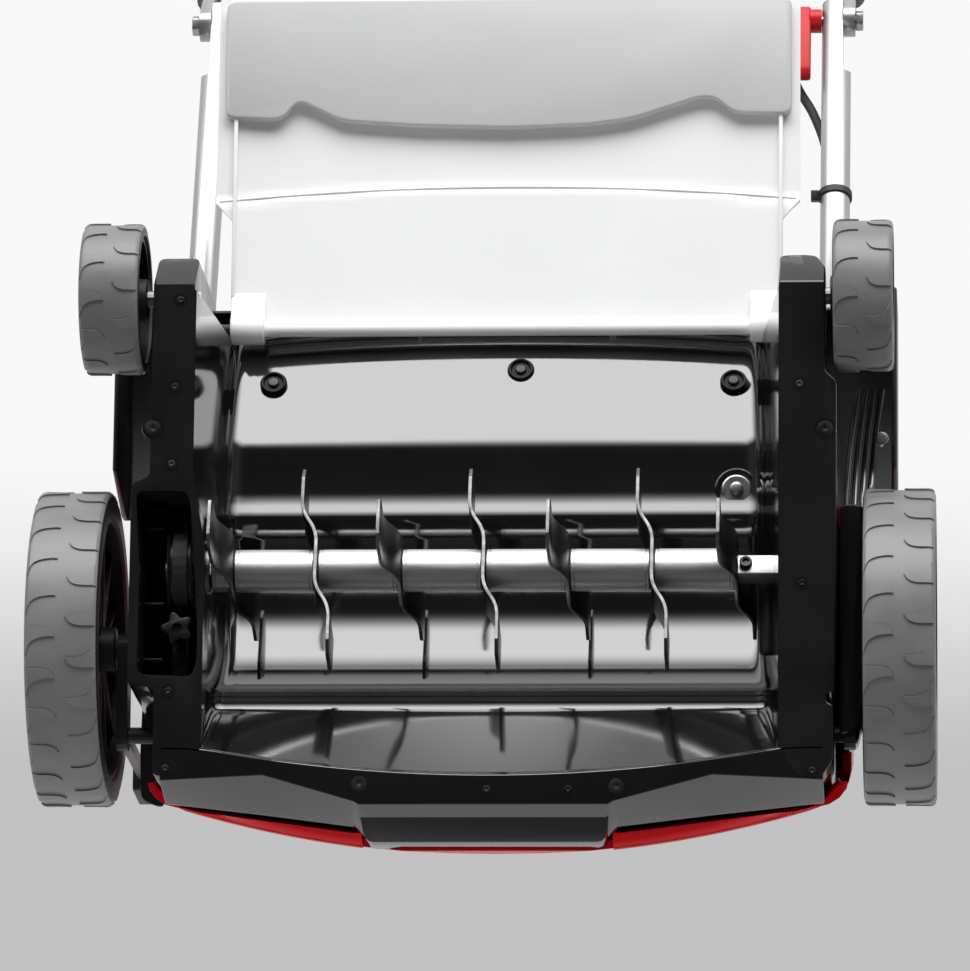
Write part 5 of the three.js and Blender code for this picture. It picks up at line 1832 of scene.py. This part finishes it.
    def tie(self) -> None:
        """The tie round the right tube and the lead, with its lock."""
        along = 194.0
        band = self.straight("cable_tie_band", self.on_tube(Side.RIGHT, along - 2.5),
                             self.on_tube(Side.RIGHT, along + 2.5), self.radius + 1.6)
        cut(band, self.straight("way", self.on_tube(Side.RIGHT, along - 9),
                                self.on_tube(Side.RIGHT, along + 9), self.radius + self.gap))
        spot = self.on_tube(Side.RIGHT, along)
        x, y, z = spot.x / SCALE, (spot.y - AXLE_Y) / SCALE, spot.z / SCALE
        face = softened([(y - 4, z - 5), (y + 4, z - 5), (y + 4, z + 3), (y - 4, z + 3)], 1.5)
        lock = rounded(along_x("lock", face, x + 12, x + 18), 0.8)
        way = self.on_tube(Side.RIGHT, along) - self.on_tube(Side.RIGHT, along - 1)
        loop = [(x + 9, z + 10), (x + 6.5, z + 16), (x + 3.5, z + 19.6), (x, z + 20.6),
                (x - 3.5, z + 19.6), (x - 6.5, z + 16), (x - 9, z + 10)]
        arch = rod("arch", [mm(a, y - (b - z) * 0.34, b) for a, b in loop], 1.2, sides=3, steps=5)
        arch.data.transform(about(spot, Matrix.Scale(2.0, 4, way.normalized())))
        hang(joined("cable_tie_strap", [band, lock, arch]), Body.CHASSIS, MATT_BLACK,
             ["cable_tie"])


# ------------------------------------------------------------------------------- drive


@dataclass
class Drive:
    """The pulleys, the adjuster and the carried-over parts of the drive and the axles."""

    kept: dict[str, Finish] = field(default_factory=lambda: {
        "motor": MOTOR_PAINT, "motor_cradle": MATT_BLACK, "motor_pulley": ZINC, "drive_belt": RUBBER,
        "bearing_left": ZINC, "bearing_right": ZINC, "rear_stub_left": ZINC, "rear_stub_right": ZINC,
        "flap_rod": SATIN_BLACK, "front_axle": SATIN_BLACK,
    })

    def build(self) -> None:
        """Models the visible drive parts and dresses the nodes that stay."""
        self.pulley()
        self.adjuster()
        self.depth_grip()
        for node, finish in self.kept.items():
            dress(frame["nodes"][node], finish)
            LOG.info("%s keeps its own mesh", node)

    def pulley(self) -> None:
        """The flanged pulley stack on the roller's end."""
        y, z = ROLLER_Y, ROLLER_Z
        profile = [(204, 9.3), (204, 33.5), (205, 34.5), (205.6, 33.6), (206, 28.5), (211.6, 28.5),
                   (212, 30), (214, 30), (214.4, 28.5), (220, 28.5), (220.4, 33.6), (221, 34.5),
                   (222, 33.5), (222, 9.3)]
        body = turned_x("pulley", profile, y, z, 64)
        face = [(y - 1, z + 12), (y + 1, z + 12), (y + 1.6, z + 33), (y - 1.6, z + 33)]
        lug = rounded(along_x("lug", face, 203.2, 204.4), 0.3)
        lugs = repeated(lug, 16, mm(0, y, z), Vector((1, 0, 0)))
        hang(joined("roller_pulley_stack", [body, lugs]), Body.ROLLER, SATIN_BLACK,
             ["roller_pulley"])

    def adjuster(self) -> None:
        """The star nut with a hexagon socket, on its stem."""
        x, y, z = 214.5, 4.4, 62.0
        lobes = []
        stations, points = 60, 5
        for i in range(stations):
            angle = TURN * i / stations
            radius = 9.9 + 2.1 * math.cos(points * angle)
            lobes.append((x + radius * math.cos(angle), y + radius * math.sin(angle)))
        star = rounded(along_z("star", lobes, z, z + 5), 0.9, 3, 50)
        cut(star, along_z("socket", arc(x, y, 4, 0, 300, 6), z - 1, z + 3))
        stem = turned_z("stem", [(0, z + 4), (5, z + 4), (5, z + 30), (0, z + 30)], x, y)
        lug = along_z("lug", [(x - 6, -34), (x + 6, -34), (x + 6, y + 3), (x - 6, y + 3)], z + 24, z + 32)
        hang(joined("belt_adjuster_star", [star, stem, rounded(lug, 0.8)]), Body.CHASSIS,
             DARK_STEEL, ["belt_adjuster"])

    def depth_grip(self) -> None:
        """The dark grip on the depth lever."""
        y = -62.0
        outline = softened([(y - 12, 252), (y + 8, 252), (y + 10, 300), (y + 4, 308), (y - 10, 308),
                            (y - 14, 300)], 4)
        grip = along_x("depth_lever_cap", outline, 249, 265)
        rounded(grip, 2.4, 4, 30)
        cut(grip, along_x("way", [(y - 6.7, 240), (y + 4.6, 240), (y + 2.4, 290.4), (y - 6.4, 290.4)],
                          253.7, 260.3))
        hang(grip, Body.CRANK, MATT_BLACK, ["depth_lever_grip"])


# ------------------------------------------------------------------------------- stage


@dataclass
class Stage:
    """The plain floor, the soft light round the machine and the camera below it, in metres."""

    aim: Point = (DECK_X, ROLLER_Y, ROLLER_Z)
    ray: Point = (0.0647, 0.2268, 1.0)
    forward: Point = (0.0664, 0.2385, 1.0)
    distance: float = 5.41
    lens: float = 284.3
    roll: float = -0.004
    sensor: float = 36.0
    far: float = 400.0
    floor_size: float = 200.0
    floor_drop: float = 0.0005
    soft_lamps: Sequence[tuple[str, Point, float, float]] = (
        ("above", (0.6, -0.8, 3.0), 2.5, 28), ("ahead", (0.3, -2.4, -1.2), 1.2, 20),
        ("behind", (-0.4, 2.2, -1.6), 1.8, 40))

    def build(self) -> None:
        """Makes the floor, the lights and the camera."""
        self.camera()
        self.floor()
        self.world()
        self.lamps()

    def camera(self) -> None:
        """A long lens below and ahead of the machine, looking up at the roller."""
        data = bpy.data.cameras.new("camera")
        data.lens = self.lens
        data.sensor_width = self.sensor
        data.clip_end = self.far
        camera = bpy.data.objects.new("camera", data)
        bpy.context.scene.collection.objects.link(camera)
        camera.location = mm(*self.aim) - Vector(self.ray).normalized() * self.distance
        way = Vector(self.forward).normalized()
        level = (Vector((-1, 0, 0)) + way * way.x).normalized()
        upright = level.cross(way)
        side = level * math.cos(self.roll) + upright * math.sin(self.roll)
        top = upright * math.cos(self.roll) - level * math.sin(self.roll)
        camera.rotation_euler = Matrix((side, top, -way)).transposed().to_euler()
        bpy.context.scene.camera = camera

    def floor(self) -> None:
        """A pale floor that shows from above only."""
        deselect()
        bpy.ops.mesh.primitive_grid_add(x_subdivisions=2, y_subdivisions=2, size=self.floor_size,
                                        location=(0, 0, -self.floor_drop))
        floor = bpy.context.object
        floor.name = "floor"
        material = dress(floor, FLOOR_PALE).data.materials[0]
        nodes, links = material.node_tree.nodes, material.node_tree.links
        clear, mix = nodes.new("ShaderNodeBsdfTransparent"), nodes.new("ShaderNodeMixShader")
        links.new(nodes.new("ShaderNodeNewGeometry").outputs["Backfacing"], mix.inputs["Fac"])
        links.new(nodes["Principled BSDF"].outputs["BSDF"], mix.inputs[1])
        links.new(clear.outputs["BSDF"], mix.inputs[2])
        links.new(mix.outputs["Shader"], nodes["Material Output"].inputs["Surface"])
        for rays in ("visible_glossy", "visible_diffuse", "visible_transmission", "visible_shadow"):
            setattr(floor, rays, False)

    def world(self) -> None:
        """A dim ground, bright behind and above, with a plain pale backdrop for the camera."""
        world = bpy.data.worlds.new("studio")
        bpy.context.scene.world = world
        world.use_nodes = True
        nodes, links = world.node_tree.nodes, world.node_tree.links
        nodes.clear()
        place = nodes.new("ShaderNodeTexCoord")
        parts = nodes.new("ShaderNodeSeparateXYZ")
        links.new(place.outputs["Generated"], parts.inputs["Vector"])

        def ramp(axis: str, start: float, end: float, low: float, high: float) -> bpy.types.NodeSocket:
            """A smooth step along one axis of the direction.

            Args:
                axis: X, Y or Z.
                start: where the step starts on that axis.
                end: where it ends.
                low: the value before it.
                high: the value after it.

            Returns:
                The step's value.
            """
            node = nodes.new("ShaderNodeMapRange")
            node.interpolation_type = "SMOOTHSTEP"
            settings = {"From Min": start, "From Max": end, "To Min": low, "To Max": high}
            for label, value in settings.items():
                node.inputs[label].default_value = value
            links.new(parts.outputs[axis], node.inputs["Value"])
            return node.outputs["Result"]

        def maths(kind: str, first: bpy.types.NodeSocket,
                  second: bpy.types.NodeSocket) -> bpy.types.NodeSocket:
            """Puts two values together.

            Args:
                kind: what is done with them.
                first: one value.
                second: the other value.

            Returns:
                The result.
            """
            node = nodes.new("ShaderNodeMath")
            node.operation = kind
            links.new(first, node.inputs[0])
            links.new(second, node.inputs[1])
            return node.outputs["Value"]

        behind, below = ramp("Y", 0.42, 0.74, 0.03, 5.0), ramp("Z", -0.93, -0.66, 0.0, 1.0)
        lower = maths("MULTIPLY", maths("MULTIPLY", behind, below), ramp("Z", -0.3, 0.12, 1.0, 0.0))
        upper = maths("MULTIPLY", ramp("Z", -0.25, 0.15, 0.0, 1.0), ramp("Y", -1.0, 0.6, 0.6, 0.7))
        ground = ramp("Z", -1.0, -0.6, 0.03, 0.09)
        level = maths("ADD", maths("ADD", lower, upper), ground)
        back = nodes.new("ShaderNodeBackground")
        links.new(level, back.inputs["Strength"])
        drop = nodes.new("ShaderNodeBackground")
        links.new(ramp("Y", 0.193, 0.237, 0.67, 1.18), drop.inputs["Strength"])
        path, mix, out = (nodes.new(kind) for kind in (
            "ShaderNodeLightPath", "ShaderNodeMixShader", "ShaderNodeOutputWorld"))
        links.new(path.outputs["Is Camera Ray"], mix.inputs["Fac"])
        links.new(back.outputs["Background"], mix.inputs[1])
        links.new(drop.outputs["Background"], mix.inputs[2])
        links.new(mix.outputs["Shader"], out.inputs["Surface"])

    def lamps(self) -> None:
        """Soft lamps: one above, one low ahead, one low behind."""
        for name, place, size, power in self.soft_lamps:
            data = bpy.data.lights.new(name, "AREA")
            data.energy = power
            data.size = size
            lamp = bpy.data.objects.new(name, data)
            bpy.context.scene.collection.objects.link(lamp)
            lamp.location = place
            lamp.rotation_euler = (-Vector(place)).to_track_quat("-Z", "Y").to_euler()
            lamp.visible_glossy = False


def main() -> None:
    """Builds the scene and writes how large the visual model is."""
    logging.basicConfig(level=logging.INFO, format="%(message)s")
    bpy.context.scene.view_settings.view_transform = "Standard"
    Stage().build()
    for assembly in (Underbody(), KnifeRoller(), *wheels(), Covers(), Flap(), Handle(), Drive()):
        assembly.build()
        LOG.info("%s built", type(assembly).__name__)
    deselect()


if __name__ == "__main__":
    main()
